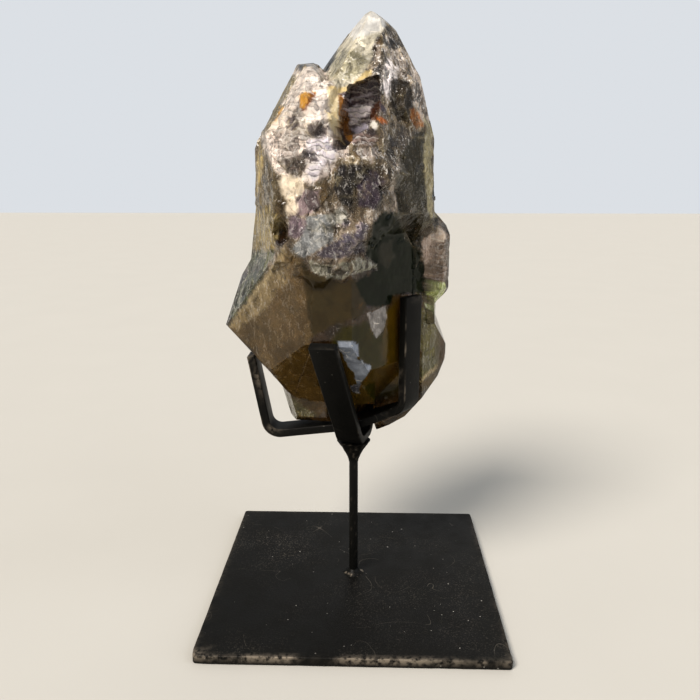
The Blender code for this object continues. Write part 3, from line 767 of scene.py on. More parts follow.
# The front's patches, laid on in this order: name, colour, strength, frost, grit, softness of
# the edge in mm, and outline in the front plan. Most are the stone's own colours, and a few are
# painted shade and painted light, such as the glint, as their names and notes say. Grit over 0.4
# breaks a patch up into flakes.
FRONT_MARKS = [
    ("right peak, frosted face", "d2cab4", 0.95, 0.8, 0.4, 1,
     [(3.5, 200.5), (8.5, 196), (5.5, 190), (3.5, 184.5), (-0.5, 179), (-5.5, 177.5), (-9.5, 183),
      (-7.5, 186.5), (-4.5, 191.5), (-1, 196)]),
    ("pale tip", "d2d0cb", 0.9, 0.9, 0.1, 1.2,
     [(1, 203), (6, 204), (11, 200), (9, 196), (5.5, 195), (0.5, 193.5), (-2, 194)]),
    ("olive lower part of that face", "8a8462", 0.6, 0.55, 0.4, 2.2,
     [(-7.5, 186.5), (-4.5, 190), (0.5, 190), (3.5, 186.5), (0.5, 182), (-4.5, 181), (-8, 182)]),
    ("right peak, streaked face", "9c8f82", 0.92, 0.62, 0.9, 1,
     [(8.5, 196), (13.5, 193), (19.5, 184.5), (22, 177), (22.5, 170.5), (18, 167.5), (11.5, 172.5),
      (8, 179), (6, 183), (3.5, 184.5), (5.5, 190)]),
    ("pinkish glint", "e2d8d4", 0.92, 0.85, 0.7, 0.8,
     [(10, 187), (13.5, 184.5), (13.5, 180), (10, 175.5), (8.5, 179)]),
    ("smoky window of the right peak", "342c20", 0.92, 0.45, 0.2, 0.4,
     [(11, 181.5), (17.5, 180.5), (19, 173.5), (19.5, 168.5), (13.5, 167.5), (12, 173)]),
    ("brown streak by the ridge", "5f5648", 0.7, 0.4, 0.5, 0.8,
     [(8.5, 190), (11, 189.5), (10, 186.5), (8.5, 183.5), (7, 185.5)]),
    ("rust on the right shoulder", "b06a1e", 0.8, 0.6, 0.3, 0.7,
     [(18, 172.5), (20.5, 170.5), (22.5, 166.5), (20.5, 166), (18, 168.5)]),
    ("cream rim over the hollow", "cdb680", 0.9, 0.8, 0.15, 0.5,
     [(-9.5, 178.5), (-4.5, 179), (-0.5, 180), (3.5, 184), (5.5, 184.5), (5, 183), (0.5, 178), (-6, 177),
      (-8.5, 177)]),
    ("hollow", "574b54", 0.95, 0.5, 0.4, 0.6,
     [(-6, 177), (-0.5, 178.5), (5.5, 182.5), (8.5, 179), (8, 172.5), (5.5, 169.5), (3.5, 165.5),
      (-0.5, 160.5), (-3.5, 163), (-5.5, 168.5)]),
    ("hollow, pale step", "ece4e8", 0.95, 0.85, 0.4, 0.5,
     [(-2.5, 171.5), (0.5, 173), (5.5, 173.5), (4.5, 170), (0.5, 168), (-1.5, 167)]),
    ("hollow, lilac step", "b0aab8", 0.9, 0.75, 0.3, 0.5,
     [(-1.5, 166), (3.5, 167), (4, 165.5), (-0.5, 164)]),
    ("hollow, thin pale line", "c8c0c8", 0.9, 0.7, 0.1, 0.35,
     [(-2.5, 174.5), (3.5, 176.5), (5.5, 177), (5.5, 176.5), (2, 175.5), (-2, 174)]),
    ("hollow, lower floor", "a58d84", 0.8, 0.6, 0.3, 0.6,
     [(-1, 163.5), (3.5, 164.5), (8, 163), (7, 160), (-0.5, 160.5)]),
    # rust on the hollow's wall, painted paler as if lit because the wall faces away from the light
    ("rusty wall of the hollow", "a06c28", 0.95, 0.55, 0.2, 0.5,
     [(-6, 177), (-3.5, 175.5), (-2, 168.5), (-1, 161), (-3, 162.5), (-5, 168.5)]),
    # the wall's golden foot, also painted paler as if lit
    ("golden foot of that wall", "c88a30", 0.9, 0.6, 0.2, 0.5,
     [(-3.5, 165), (-1, 164), (-1, 161), (-3, 162.5)]),
    ("rust in the hollow's right wall", "6e3a12", 0.9, 0.5, 0.2, 0.5,
     [(5, 171.5), (8, 175), (8.5, 171.5), (6.5, 168), (4.5, 168.5)]),
    ("rust spot", "cf7426", 0.9, 0.7, 0.3, 0.5,
     [(6.5, 169), (9, 169.5), (11, 167.5), (8.5, 167)]),
    ("white tooth", "e6dfd4", 0.95, 0.9, 0.1, 0.3,
     [(4.5, 166.5), (5.5, 168.5), (7.5, 166), (6, 165)]),
    # painted shade below the white tooth
    ("dark below the tooth", "54494f", 0.8, 0.45, 0.4, 0.4,
     [(3.5, 165.5), (6.5, 165.5), (7, 163.5), (4, 163.5)]),
    ("ivory wedge", "d4c39c", 0.95, 0.85, 0.12, 0.7,
     [(-9.5, 177.5), (-6, 177), (-5.5, 171.5), (-4.5, 164), (-3, 160.5), (-6.5, 163), (-8.5, 167.5),
      (-9.5, 172.5)]),
    ("left peak", "e8dace", 0.9, 0.8, 0.45, 1.4,
     [(-20.5, 183), (-15.5, 185.5), (-12, 185), (-9.5, 183), (-9, 179), (-9.5, 172.5), (-8.5, 167.5),
      (-6.5, 163), (-4.5, 158), (-9.5, 152), (-14.5, 148), (-18, 149), (-23.5, 150), (-28.5, 153),
      (-30.5, 158), (-30.5, 165), (-27, 171.5), (-23.5, 177.5)]),
    ("left peak, olive slope", "8c8058", 0.85, 0.5, 0.4, 1,
     [(-21, 183), (-19.5, 181), (-22.5, 175.5), (-25.5, 169.5), (-29.5, 165), (-30.5, 163), (-31.5, 164),
      (-28, 170), (-24.5, 176.5)]),
    ("orange stain", "e0a238", 0.95, 0.7, 0.15, 0.5,
     [(-18.5, 175.5), (-16.5, 177.5), (-12.5, 177.5), (-14.5, 174), (-16.5, 172.5), (-18.5, 173)]),
    ("brown tail of the stain", "8c4a1a", 0.85, 0.5, 0.2, 0.4,
     [(-14.5, 177), (-12.5, 177.5), (-13.5, 175), (-16.5, 171.5), (-17.5, 171.5)]),
    ("small stain on the slope", "c99a4c", 0.8, 0.6, 0.3, 0.5,
     [(-24.5, 173), (-23.5, 172.5), (-25.5, 168.5), (-27, 168)]),
    ("dark patch, left peak", "4a4046", 0.85, 0.5, 0.4, 0.5,
     [(-22.5, 169), (-20, 170.5), (-18.5, 167.5), (-19.5, 165), (-22, 165.5)]),
    ("dark patch under the ledges", "4a4046", 0.85, 0.5, 0.4, 0.5,
     [(-16, 166.5), (-12.5, 168), (-9, 166.5), (-9.5, 163), (-13.5, 162.5), (-15.5, 164.5)]),
    ("dark patch at the neck", "43362e", 0.88, 0.5, 0.38, 0.5,
     [(-23.5, 156.5), (-16.5, 157), (-16, 153.5), (-18, 150), (-23.5, 151.5)]),
    ("silvery ledges", "dcd4dc", 0.88, 0.85, 0.35, 0.8,
     [(-16.5, 162), (-9.5, 163), (-6, 158), (-9.5, 153), (-14, 148.5), (-16.5, 152), (-12.5, 155),
      (-16.5, 158)]),
    # painted shade under the ledges
    ("dark under the silvery ledges", "3c3640", 0.8, 0.4, 0.35, 0.4,
     [(-17.5, 158), (-13.5, 158), (-11.5, 155), (-14.5, 154.5)]),
    ("rough pinkish field", "cdbdb2", 0.85, 0.8, 0.85, 1.2,
     [(-27.5, 165), (-16.5, 163), (-16.5, 157.5), (-23.5, 157), (-25, 153), (-28.5, 153), (-30.5, 158)]),
    ("cream patch", "eadac2", 0.97, 0.9, 0.25, 0.6,
     [(-25.5, 149), (-23, 150.5), (-17.5, 149.5), (-17.5, 146), (-19.5, 141.5), (-20, 138), (-23.5, 138),
      (-24.5, 144)]),
    ("long left facet", "84765a", 0.92, 0.5, 0.5, 1.4,
     [(-32.5, 164), (-30, 158), (-25.5, 149), (-24, 143), (-23.5, 137), (-23.5, 129), (-37, 129),
      (-35.5, 138), (-32.5, 158)]),
    ("pale edge of the left facet", "c4ad74", 0.8, 0.6, 0.3, 0.8,
     [(-32.5, 163), (-31, 153), (-33.5, 143), (-35, 129.5), (-36.5, 129.5), (-35.5, 138), (-33, 153)]),
    ("dark seam beside it", "4f3f22", 0.8, 0.45, 0.3, 0.8,
     [(-26, 146), (-23.5, 143), (-23.5, 129), (-25.5, 129), (-26.5, 138)]),
    ("long left facet, foot", "a08e5c", 0.85, 0.57, 0.45, 1,
     [(-36, 140.5), (-29, 140.5), (-25.5, 137.5), (-25.5, 130.5), (-28.5, 125.5), (-36, 126)]),
    # painted shadow in a small notch
    ("notch", "2e1c0e", 0.95, 0.05, 0, 0.5,
     [(-25.5, 133), (-23.5, 132.5), (-23.5, 129), (-26, 128)]),
    ("lilac patch", "958386", 0.9, 0.55, 0.42, 0.7,
     [(-20, 143), (-17, 146.5), (-12.5, 145.5), (-12, 141), (-16.5, 138), (-20, 138)]),
    ("ochre fleck", "8c7248", 0.6, 0.5, 0.38, 0.5,
     [(-12, 148), (-9.5, 149), (-9.5, 143), (-11.5, 141.5)]),
    ("pinkish white field", "cfc0b6", 0.88, 0.8, 0.85, 0.9,
     [(-6.5, 160), (6, 160), (9, 157.5), (6, 155), (-1.5, 156), (-6.5, 154), (-10, 150.5), (-12.5, 149),
      (-14.5, 148)]),
    ("smoky field", "1e1d20", 0.95, 0.5, 0.4, 0.8,
     [(-7.5, 152), (-1.5, 155), (6, 154), (4, 149), (-0.5, 146), (-0.5, 140.5), (-4.5, 141),
      (-7.5, 145)]),
    ("violet field", "443a4c", 0.9, 0.5, 0.38, 0.7,
     [(0.5, 148), (6, 153), (10.5, 149), (9, 143), (6, 139), (1, 141)]),
    ("speckled right field", "55493a", 0.85, 0.6, 0.9, 1,
     [(9, 163), (16, 165), (20, 163), (18.5, 158), (13.5, 151.5), (10.5, 143), (8, 140), (9, 148),
      (6.5, 154)]),
    ("second lilac patch", "7d6e78", 0.9, 0.55, 0.42, 0.7,
     [(-22.5, 137), (-20, 137.5), (-17, 136), (-17.5, 132.5), (-20, 129.5), (-23, 130.5)]),
    ("grey flake", "868888", 0.94, 0.8, 0.38, 0.5,
     [(-17, 137), (-9.5, 138), (-7.5, 132.5), (-7.5, 129), (-13, 125), (-19, 123), (-23.5, 124.5),
      (-19, 129.5), (-17.5, 133.5)]),
    ("rough grey flake", "a3a298", 0.85, 0.8, 0.5, 0.6,
     [(-10, 138), (-5, 140.5), (-2, 139), (-2.5, 135.5), (-7.5, 134), (-10, 136)]),
    ("white crust", "6a626c", 0.9, 0.78, 0.95, 0.6,
     [(-6.5, 134.5), (-0.5, 136.5), (4.5, 134.5), (4, 129.5), (-1.5, 127.5), (-6.5, 130)]),
    ("violet-brown band", "585360", 0.92, 0.5, 0.38, 0.5,
     [(-13, 124.5), (-6.5, 129), (-1.5, 132), (4, 132.5), (3, 125.5), (-1.5, 123.5), (-6.5, 123),
      (-13, 123.5)]),
    ("lower lip", "8d8b7c", 0.9, 0.7, 0.55, 0.5,
     [(-15.5, 122), (-9.5, 120.5), (-2, 122), (1.5, 123.5), (9, 120), (1, 117.5), (-2, 117.5),
      (-5.5, 115), (-12.5, 117), (-15, 118.5)]),
    # painted shade under the lower lip
    ("dark under the lip", "33322c", 0.8, 0.3, 0.2, 0.5,
     [(-9.5, 120), (-6.5, 119), (-2, 119.5), (-2.5, 118), (-6.5, 117.5), (-9.5, 118)]),
    ("smoky front face", "40361e", 1, 0.45, 0, 1,
     [(-18.5, 122.5), (-15, 118), (-5.5, 114.5), (-0.5, 116), (1, 113.5), (4, 106), (3, 103), (-7.5, 99),
      (-15.5, 95), (-17.5, 100.5), (-19.5, 113.5)]),
    ("golden lower face", "38340f", 1, 0.45, 0, 2.4,
     [(-4.5, 99), (3.5, 101), (11.5, 106), (14.5, 109.5), (16, 95), (17.5, 75.5), (0, 69), (-10, 66.5),
      (-13.5, 82), (-7.5, 95)]),
    ("honey strip", "6a5410", 0.85, 0.4, 0, 2.0,
     [(10, 103), (14.5, 109.5), (16.5, 79.5), (12, 78.5), (9.5, 89.5)]),
    ("black-green window", "141b0f", 1, 0.5, 0, 0.7,
     [(6, 136), (9, 138.5), (15.5, 138.5), (17.5, 132.5), (23, 126), (24, 111.5), (14.5, 110.5),
      (11.5, 106.5), (4, 106), (0, 114.5), (8.5, 119.5), (3, 124), (5, 130)]),
    ("faint veil in the window", "3f3c30", 0.4, 0.25, 0.02, 1,
     [(8.5, 127.5), (12.5, 129.5), (14, 123), (10.5, 120), (8, 122)]),
    ("white flake", "96908a", 0.92, 0.85, 0.3, 0.4,
     [(4, 104), (6, 105), (10.5, 106.5), (11, 102), (9.5, 97), (7.5, 95), (5.5, 98.5)]),
    ("bluish flake, upper", "8f96a2", 0.92, 0.85, 0.2, 0.35,
     [(-6.5, 94), (-0.5, 93.5), (1.5, 92), (1, 87.5), (-3, 87.5), (-5, 89.5)]),
    ("bluish flake, lower", "959ba6", 0.92, 0.85, 0.2, 0.35,
     [(-4.5, 88.5), (1, 87), (6, 85), (3, 79.5), (1, 78), (-1, 83)]),
    ("bluish crumbs", "72747e", 0.8, 0.7, 0.4, 0.4,
     [(-2, 77.5), (2.5, 78.5), (1.5, 74.5), (-1, 75.5)]),
    ("big left facet", "6f5c3c", 0.92, 0.47, 0.14, 1,
     [(-23.5, 127), (-18.5, 122), (-17.5, 111.5), (-16, 100.5), (-15.5, 93.5), (-13.5, 82), (-11, 66.5),
      (-16, 65.5), (-24.5, 76.5), (-45, 98.5), (-39, 106), (-31, 117.5)]),
    ("big left facet, golden foot", "4e3e24", 0.8, 0.46, 0.05, 5,
     [(-25, 95), (-15.5, 92), (-11, 66.5), (-16, 66.5), (-24.5, 76.5), (-30.5, 85)]),
    ("big left facet, pale shoulder", "9c8a66", 0.75, 0.55, 0.4, 2.0,
     [(-24, 125.5), (-23.5, 115.5), (-31.5, 106), (-41.5, 97.5), (-44.5, 98.5), (-31, 117.5)]),
    ("bright ridge", "cbbb97", 0.55, 0.7, 0.12, 1.8,
     [(-23.5, 127), (-24, 125.2), (-29.5, 116.3), (-35, 109.8), (-41, 103.2), (-44.8, 98), (-45.5, 98.8),
      (-39.5, 106.2), (-31.8, 116.2), (-25.5, 125.2)]),
    ("grey-green band", "646848", 0.9, 0.5, 0.6, 0.8,
     [(-36.5, 125.5), (-29, 125.5), (-26.5, 127), (-31, 118), (-39, 107), (-45, 99.5), (-42.5, 108.5),
      (-37.5, 117.5)]),
    ("right side crystal", "8f7a68", 0.9, 0.55, 0.5, 0.8,
     [(22.5, 133), (26.5, 134.5), (30.5, 134), (32.5, 130.5), (32, 122), (31, 116), (27.5, 112),
      (24, 113.5), (24, 122)]),
    ("its pale shoulder", "c8b6a4", 0.9, 0.8, 0.45, 0.7,
     [(22.5, 133), (29, 134.5), (31, 130.5), (29, 126.5), (24.5, 127.5)]),
    ("its pale left side", "c0aa98", 0.85, 0.7, 0.3, 0.6,
     [(22.8, 131), (28, 130), (26.5, 124), (24.8, 114), (23.8, 115)]),
    # a yellow-green foot, painted paler as if lit, since it lies in shade
    ("lime foot", "d0d894", 0.94, 0.68, 0.45, 0.7,
     [(24, 112), (31, 115.5), (31, 109.5), (27.5, 104), (24.5, 106.5)]),
    ("lower right facet", "7a7648", 0.9, 0.5, 0.35, 0.9,
     [(22.5, 106.5), (27.5, 104), (30.5, 99), (32.5, 92.5), (29.5, 86), (23, 78.5)]),
    ("lower right rim", "77683f", 0.85, 0.35, 0.25, 0.6,
     [(32.5, 90), (30.5, 82.5), (21.5, 72.5), (22, 78), (29.5, 86)]),
    ("pale line of the rim", "bca980", 0.85, 0.7, 0.2, 0.3,
     [(32.5, 90.5), (30, 87), (22.5, 79), (22.5, 77.5), (30, 84.5), (33, 89)]),
    ("right strip", "423d29", 0.94, 0.45, 0.3, 1.2,
     [(15, 158), (21, 165), (25, 163), (26, 143), (29, 133), (22.5, 129.5), (16.5, 129.5), (13.5, 143)]),
    ("right strip, pale rim", "b4a986", 0.85, 0.65, 0.3, 0.8,
     [(23, 169.5), (25.5, 165), (26, 145.5), (27.5, 137), (25, 137), (23.5, 148), (22.5, 160.5)]),
    ("right strip, brown seam", "2a2412", 0.92, 0.45, 0.12, 0.7,
     [(13.5, 145.5), (16, 144), (21.5, 129.5), (17.5, 129.5), (15, 138)]),
    ("right strip, foot", "232014", 0.95, 0.45, 0.1, 0.8,
     [(16, 138), (21, 138), (23, 131.5), (23.5, 126), (18.5, 131)]),
    ("pale foot facet", "625c3c", 0.9, 0.53, 0.3, 0.6,
     [(-25.5, 76), (-21, 71.5), (-13.5, 66.5), (-15.5, 65), (-22.5, 65), (-25, 70.5)]),
]

# How strongly a patch's surface is stepped; the others are not.
LEDGED = {
    "left peak": 0.7, "silvery ledges": 1, "hollow": 0.8, "hollow, pale step": 1,
    "hollow, lower floor": 1, "rough pinkish field": 0.4, "right side crystal": 0.5,
    "pinkish glint": 0.6}

# Heights in mm: the ground pales between the first two, ridges and growth lines show above the
# others, and below the last the undersides get a painted glow.
PALE_FROM, PALE_FULL = 95, 160
EDGES_FROM, EDGES_FULL = 118, 132
LINES_FULL = 130
GLOW_FROM, GLOW_FULL = 104, 96
LINE_SPACING = 2.3


def lay(fields, amount, **looks):
    """Blends named fields towards new values, by a share for each point."""
    for name, value in looks.items():
        share = amount[:, None] if fields[name].ndim == 2 else amount
        fields[name] += (value - fields[name]) * share


def stone_colours(points, normals, edge_gap, hollow):
    """The stone's tint, frost, grit and ledge fields.

    The ground is smoky brown that pales upwards and outwards; cloudy noise lays pale frosted
    and dark clear fields over it, hollows are darkened violet-brown as painted shade, and the
    front's patches are laid on last. Low faces that look down get a painted glow, paler and
    golden, and edges that stand out high up are paler. Frost is how etched and milky the skin
    is, from 0 (clear) to 1, grit is how strongly it is flecked, and ledge how strongly it is stepped.
    """
    high = ease(points[:, 2], PALE_FROM, PALE_FULL)
    fields = {"tint": np.tile(linear("4c3820")[:3], (len(points), 1)), "frost": 0.2 + 0.3 * high,
              "grit": 0.15 + 0.4 * high, "ledge": np.zeros(len(points))}
    lay(fields, high, tint=linear("85765e")[:3])
    wide = cloud(points, 14, 11, 3)
    fine = cloud(points, 5, 13, 3)
    for amount, code, milk, flecks in (
            (ease(wide + 0.5 * fine, 0.12, 0.4) * high, "ab9d8e", 0.75, 0.7),
            (ease(-wide + 0.4 * fine, 0.15, 0.42), "322a22", 0.08, 0.2),
            (ease(cloud(points, 9, 17, 3), 0.42, 0.6) * high * 0.6, "8c6a3c", 0.5, 0.3),
            (ease(cloud(points, 8, 19, 3), 0.4, 0.58), "5a4c58", 0.35, 0.5),
            # every hollow is darkened towards violet-brown: painted shade in the recesses
            (hollow * 0.92, "43373d", 0.25, 0.3)):
        lay(fields, amount, tint=linear(code)[:3], frost=milk, grit=flecks)

    plan = front_plan(points)
    wander = np.stack([cloud(points, 3.2, 23, 3), cloud(points, 3.2, 29, 3)], 1) * 1.5
    broken = cloud(points * (1, 1, 0.7), 2.0, 61, 2)
    ahead = VIEWER - points
    ahead /= np.linalg.norm(ahead, axis=1)[:, None]
    front = ease((normals * ahead).sum(1), -0.05, 0.12) * ease(-points[:, 1], -16, -10)
    for name, code, strength, milk, flecks, soft, outline in FRONT_MARKS:
        depth = inside(plan + wander * min(1.0, soft + 0.2), outline)
        amount = ease(depth, -0.5 * soft, 0.5 * soft) * strength * front
        flakes = ease(broken, 0.62 - 0.6 * flecks, 0.8 - 0.6 * flecks)
        amount *= 1 - flakes * ease(flecks, 0.4, 0.6)
        lay(fields, amount, tint=linear(code)[:3], frost=milk, grit=flecks, ledge=LEDGED.get(name, 0))

    # painted glow: low faces that look down are tinted paler and golden, standing in for light that passes
    # through the stone and evening out their shade
    under = ease(-normals[:, 2], 0.3, 0.6) * ease(-points[:, 2], -GLOW_FROM, -GLOW_FULL)
    glow = 0.3 * under * (1 - ease(fields["frost"], 0.55, 0.65))
    lay(fields, glow, tint=linear("a8843c")[:3])
    pale = np.exp(-edge_gap / 0.3) * ease(cloud(points, 6, 31, 2), -0.3, 0.5)
    pale *= 0.45 * ease(points[:, 2], EDGES_FROM, EDGES_FULL)
    lay(fields, pale, tint=linear("c9bb95")[:3], frost=0.8)
    return {name: np.clip(values, 0, 1) for name, values in fields.items()}


def relief(points, normals, frost):
    """How far the skin stands from its flat faces, in mm.

    Growth lines run level on steep faces: a wave of height bent by noise, with noise on its
    strength. Frosted skin adds two grades of grain, and every face has a slow swell.
    """
    steep = 1 - np.abs(normals[:, 2])
    bent = points[:, 2] + 0.8 * cloud(points, 9, 37, 2)
    lines = np.sin(bent * 2 * math.pi / LINE_SPACING) * steep
    lines *= ease(cloud(points, 11, 41, 2), -0.1, 0.5) * ease(points[:, 2], EDGES_FROM, LINES_FULL)
    grain = 0.1 * cloud(points, 1.7, 43, 2) + 0.14 * cloud(points, 4.5, 47, 2)
    swell = cloud(points, 12, 53, 2)
    return 0.03 * lines + grain * frost + 0.05 * swell


# ---------------------------------------------------------------- shader nodes


def add(tree, kind, inputs=None, **settings):
    """Adds one node with its settings and links, and gives its outputs.

    inputs maps a socket's name or place to a value or to another node's output; a plain tuple
    fills the sockets in order.
    """
    node = tree.nodes.new("ShaderNode" + kind)
    for key, value in settings.items():
        setattr(node, key, value)
    if isinstance(inputs, tuple):
        inputs = dict(enumerate(inputs))
    for key, value in (inputs or {}).items():
        if isinstance(value, bpy.types.NodeSocket):
            tree.links.new(value, node.inputs[key])
        else:
            node.inputs[key].default_value = value
    return node.outputs


def new_material(name):
    """An empty material, its node tree, and Object coordinates in millimetres."""
    made = bpy.data.materials.new(name)
    made.use_nodes = True
    tree = made.node_tree
    tree.nodes.clear()
    place = add(tree, "TexCoord")["Object"]
    place = add(tree, "VectorMath", {0: place, "Scale": 1 / MM}, operation="SCALE")[0]
    return made, tree, place


def smoky_quartz(settings):
    """Smoky quartz with an etched skin.

    Clear faces let light through and take it up brown in depth. Etched skin is milky, rough and
    flecked with tiny glassy faces, and healed cracks in it shine white. Painted shade darkens the
    creases of its steps and, with the skin's own clear spots, its pits; painted highlights pale the
    lips of its steps and, with its own frost, its flecks; and fine painted glints dot it.
    """
    # sizes in mm; real etch marks are 0.1 to 0.3 mm across, and are drawn coarser so that they show
    clouds, etching, facets, glints, steps, cracks, breaks = 4.0, 1.3, 2.6, 0.45, 2.0, 8.0, 5.0
    made, tree, place = new_material("smoky_quartz_etched")
    tint = add(tree, "Attribute", attribute_name="tint")["Color"]
    frost, grit, ledge = (
        add(tree, "Attribute", attribute_name=name)["Fac"] for name in ("frost", "grit", "ledge"))
    # milk and smoke lie in clouds
    lump, glint_pattern, broken = (
        add(tree, "TexNoise", {
            "Vector": place, "Scale": 1 / size, "Detail": detail, "Roughness": 0.55, "Distortion": bend})[0]
        for size, detail, bend in ((clouds, 4.0, 0.8), (glints, 1.0, 0.0), (breaks, 3.0, 0.0)))
    shade = add(tree, "MapRange", (lump, 0.3, 0.7, 0.76, 1.22), **SMOOTH)[0]
    # etch marks wander, and are drawn out along the upright axis
    swirl = add(tree, "TexNoise", {"Vector": place, "Scale": 0.3, "Detail": 3.0})["Color"]
    bent = add(tree, "VectorMath", (swirl, (4.5, 4.5, 4.5), place), operation="MULTIPLY_ADD")[0]
    drawn = add(tree, "Mapping", {"Vector": bent, "Scale": (1.0, 1.0, 0.35)})[0]
    etch = add(tree, "TexNoise", {
        "Vector": drawn, "Scale": 1 / etching, "Detail": 5.0, "Roughness": 0.7, "Distortion": 0.0})[0]
    # small flat facets, each a little darker or paler and tilted its own way
    mosaic = add(tree, "TexVoronoi", {"Vector": drawn, "Scale": 1 / facets}, distance="MANHATTAN")
    lean = add(tree, "VectorMath", (mosaic["Color"], (0.5, 0.5, 0.5)), operation="SUBTRACT")[0]
    across = add(tree, "VectorMath", (drawn, mosaic["Position"]), operation="SUBTRACT")[0]
    tilt = add(tree, "VectorMath", (across, lean), operation="DOT_PRODUCT")["Value"]
    tone = add(tree, "SeparateColor", (mosaic["Color"],))[0]
    tone = add(tree, "Math", (tone, 0.5), operation="SUBTRACT")[0]
    swing = add(tree, "Math", (grit, 1.7), operation="MULTIPLY")[0]
    tone = add(tree, "Math", (tone, swing, 1.0), operation="MULTIPLY_ADD")[0]
    shade = add(tree, "Math", (shade, tone), operation="MULTIPLY")[0]
    grey = add(tree, "CombineColor", (shade, shade, shade))[0]
    colour = add(tree, "Mix", {0: 1.0, 6: tint, 7: grey}, data_type="RGBA", blend_type="MULTIPLY")[2]
    # steps that run across, with painted shade in their creases and a painted highlight on their lips
    step = add(tree, "TexWave", {
        "Vector": bent, "Scale": 2 * math.pi / (20 * steps), "Distortion": 4.0, "Detail": 3.0,
        "Detail Scale": 0.5}, bands_direction="Z", wave_profile="SAW")["Fac"]
    # the fine white sparks on gritty skin are painted glints
    shares = []
    for pattern, none, full, most, weight in (
            (etch, 0.47, 0.4, 1.0, grit), (step, 0.3, 0.08, 0.7, ledge),
            (etch, 0.55, 0.63, 1.0, grit), (glint_pattern, 0.64, 0.72, 1.0, grit), (step, 0.6, 0.95, 0.7, ledge)):
        share = add(tree, "MapRange", (pattern, none, full, 0.0, most), **SMOOTH)[0]
        shares.append(add(tree, "Math", (share, weight), operation="MULTIPLY")[0])
    pits, creases, pale_flecks_and_highlight, painted_glints, lip_highlight = shares
    dark = add(tree, "Math", (pits, creases), operation="MAXIMUM")[0]
    pale = add(tree, "Math", (pale_flecks_and_highlight, painted_glints), operation="MAXIMUM")[0]
    pale = add(tree, "Math", (pale, lip_highlight), operation="MAXIMUM")[0]
    # healed cracks are the edges of cells, broken up, and show on frosted skin alone
    cell = add(tree, "TexVoronoi", {"Vector": place, "Scale": 1 / cracks}, feature="DISTANCE_TO_EDGE")
    crack = 1.0
    for pattern, none, full, most in (
            (cell["Distance"], 0.02, 0.005, 1.0), (broken, 0.5, 0.6, 0.75), (frost, 0.58, 0.75, 1.0)):
        share = add(tree, "MapRange", (pattern, none, full, 0.0, most), **SMOOTH)[0]
        crack = add(tree, "Math", (crack, share), operation="MULTIPLY")[0]
    # the dark share is partly the skin's own clear spots and partly painted shade in pits and creases; the
    # pale share is partly its frost and partly painted highlight and glints
    for share, strength, code in ((dark, 0.8, "1a1414"), (pale, 0.85, "fbf6ee"), (crack, 1.0, "efe6d6")):
        share = add(tree, "Math", (share, strength), operation="MULTIPLY")[0]
        colour = add(tree, "Mix", {0: share, 6: colour, 7: linear(code)}, data_type="RGBA")[2]

    # milk keeps light out, and so does darker smoke
    milky = add(tree, "Math", (crack, pale), operation="MAXIMUM")[0]
    milky = add(tree, "Math", (frost, milky), operation="MAXIMUM")[0]
    clear = add(tree, "MapRange", (milky, 0.02, 0.85, 0.97, 0.08), **SMOOTH)[0]
    clear = add(tree, "Math", (dark, 0.3, clear), operation="MULTIPLY_ADD")[0]
    smoke = add(tree, "RGBToBW", (tint,))[0]
    smoke = add(tree, "MapRange", (smoke, 0.005, 0.06, 0.3, 1.0), **SMOOTH)[0]
    clear = add(tree, "Math", (clear, smoke), operation="MULTIPLY")[0]
    rough = add(tree, "MapRange", (frost, 0.25, 1.0, 0.07, 0.44), **SMOOTH)[0]
    ragged = add(tree, "MapRange", (etch, 0.4, 0.65, -0.04, 0.06), **SMOOTH)[0]
    rough = add(tree, "Math", (rough, ragged), operation="ADD")[0]
    height = add(tree, "Math", (lump, 0.35), operation="MULTIPLY")[0]
    slant = add(tree, "Math", (grit, 4.5), operation="MULTIPLY")[0]
    for pattern, weight in ((etch, grit), (step, ledge), (tilt, slant)):
        height = add(tree, "Math", (pattern, weight, height), operation="MULTIPLY_ADD")[0]
    bump = add(tree, "Bump", {"Height": height, "Strength": 0.6, "Distance": 0.0004})[0]
    # the coat is the glint of the glassy little faces
    coat = add(tree, "Math", (grit, 0.7), operation="MULTIPLY")[0]
    skin = add(tree, "BsdfPrincipled", {
        "Base Color": colour, "Roughness": rough, "Transmission Weight": clear, "IOR": 1.544,
        "Specular IOR Level": 0.12, "Normal": bump, "Coat Weight": coat, "Coat Roughness": 0.1,
        "Coat Normal": bump})[0]
    inner = add(tree, "VolumeAbsorption", {
        "Color": (*settings.smoke_colour, 1.0), "Density": settings.smoke_density})[0]
    add(tree, "OutputMaterial", {"Surface": skin, "Volume": inner})
    return made


def paper(settings):
    """Matt paper: even and without gloss, with clouds of 60 mm that are hardly darker."""
    made, tree, place = new_material("matt_paper_floor")
    mottled = add(tree, "TexNoise", {
        "Vector": place, "Scale": 1 / 60.0, "Detail": 3.0, "Roughness": 0.55})[0]
    darker = [part * 0.96 for part in settings.floor_colour]
    colour = add(tree, "Mix", {
        0: mottled, 6: (*settings.floor_colour, 1.0), 7: (*darker, 1.0)}, data_type="RGBA")[2]
    skin = add(tree, "BsdfPrincipled", {"Base Color": colour, "Roughness": 0.85})[0]
    add(tree, "OutputMaterial", {"Surface": skin})
    return made


# The enamel's noises: lump size in mm, detail and distortion.
ENAMEL_NOISES = (
    (9.0, 4.0, 0.0),  # the brushed coat's clouds
    (30.0, 2.0, 0.0),  # drifts of dust
    (0.5, 2.0, 0.0),  # fine dust
    (26.0, 1.0, 0.8),  # scratches follow its middle level
    (12.0, 3.0, 0.0),  # where scratches lie
    (1.6, 4.0, 0.0),  # where edges are rubbed
    (0.8, 3.0, 0.0),  # grain of the coat
)


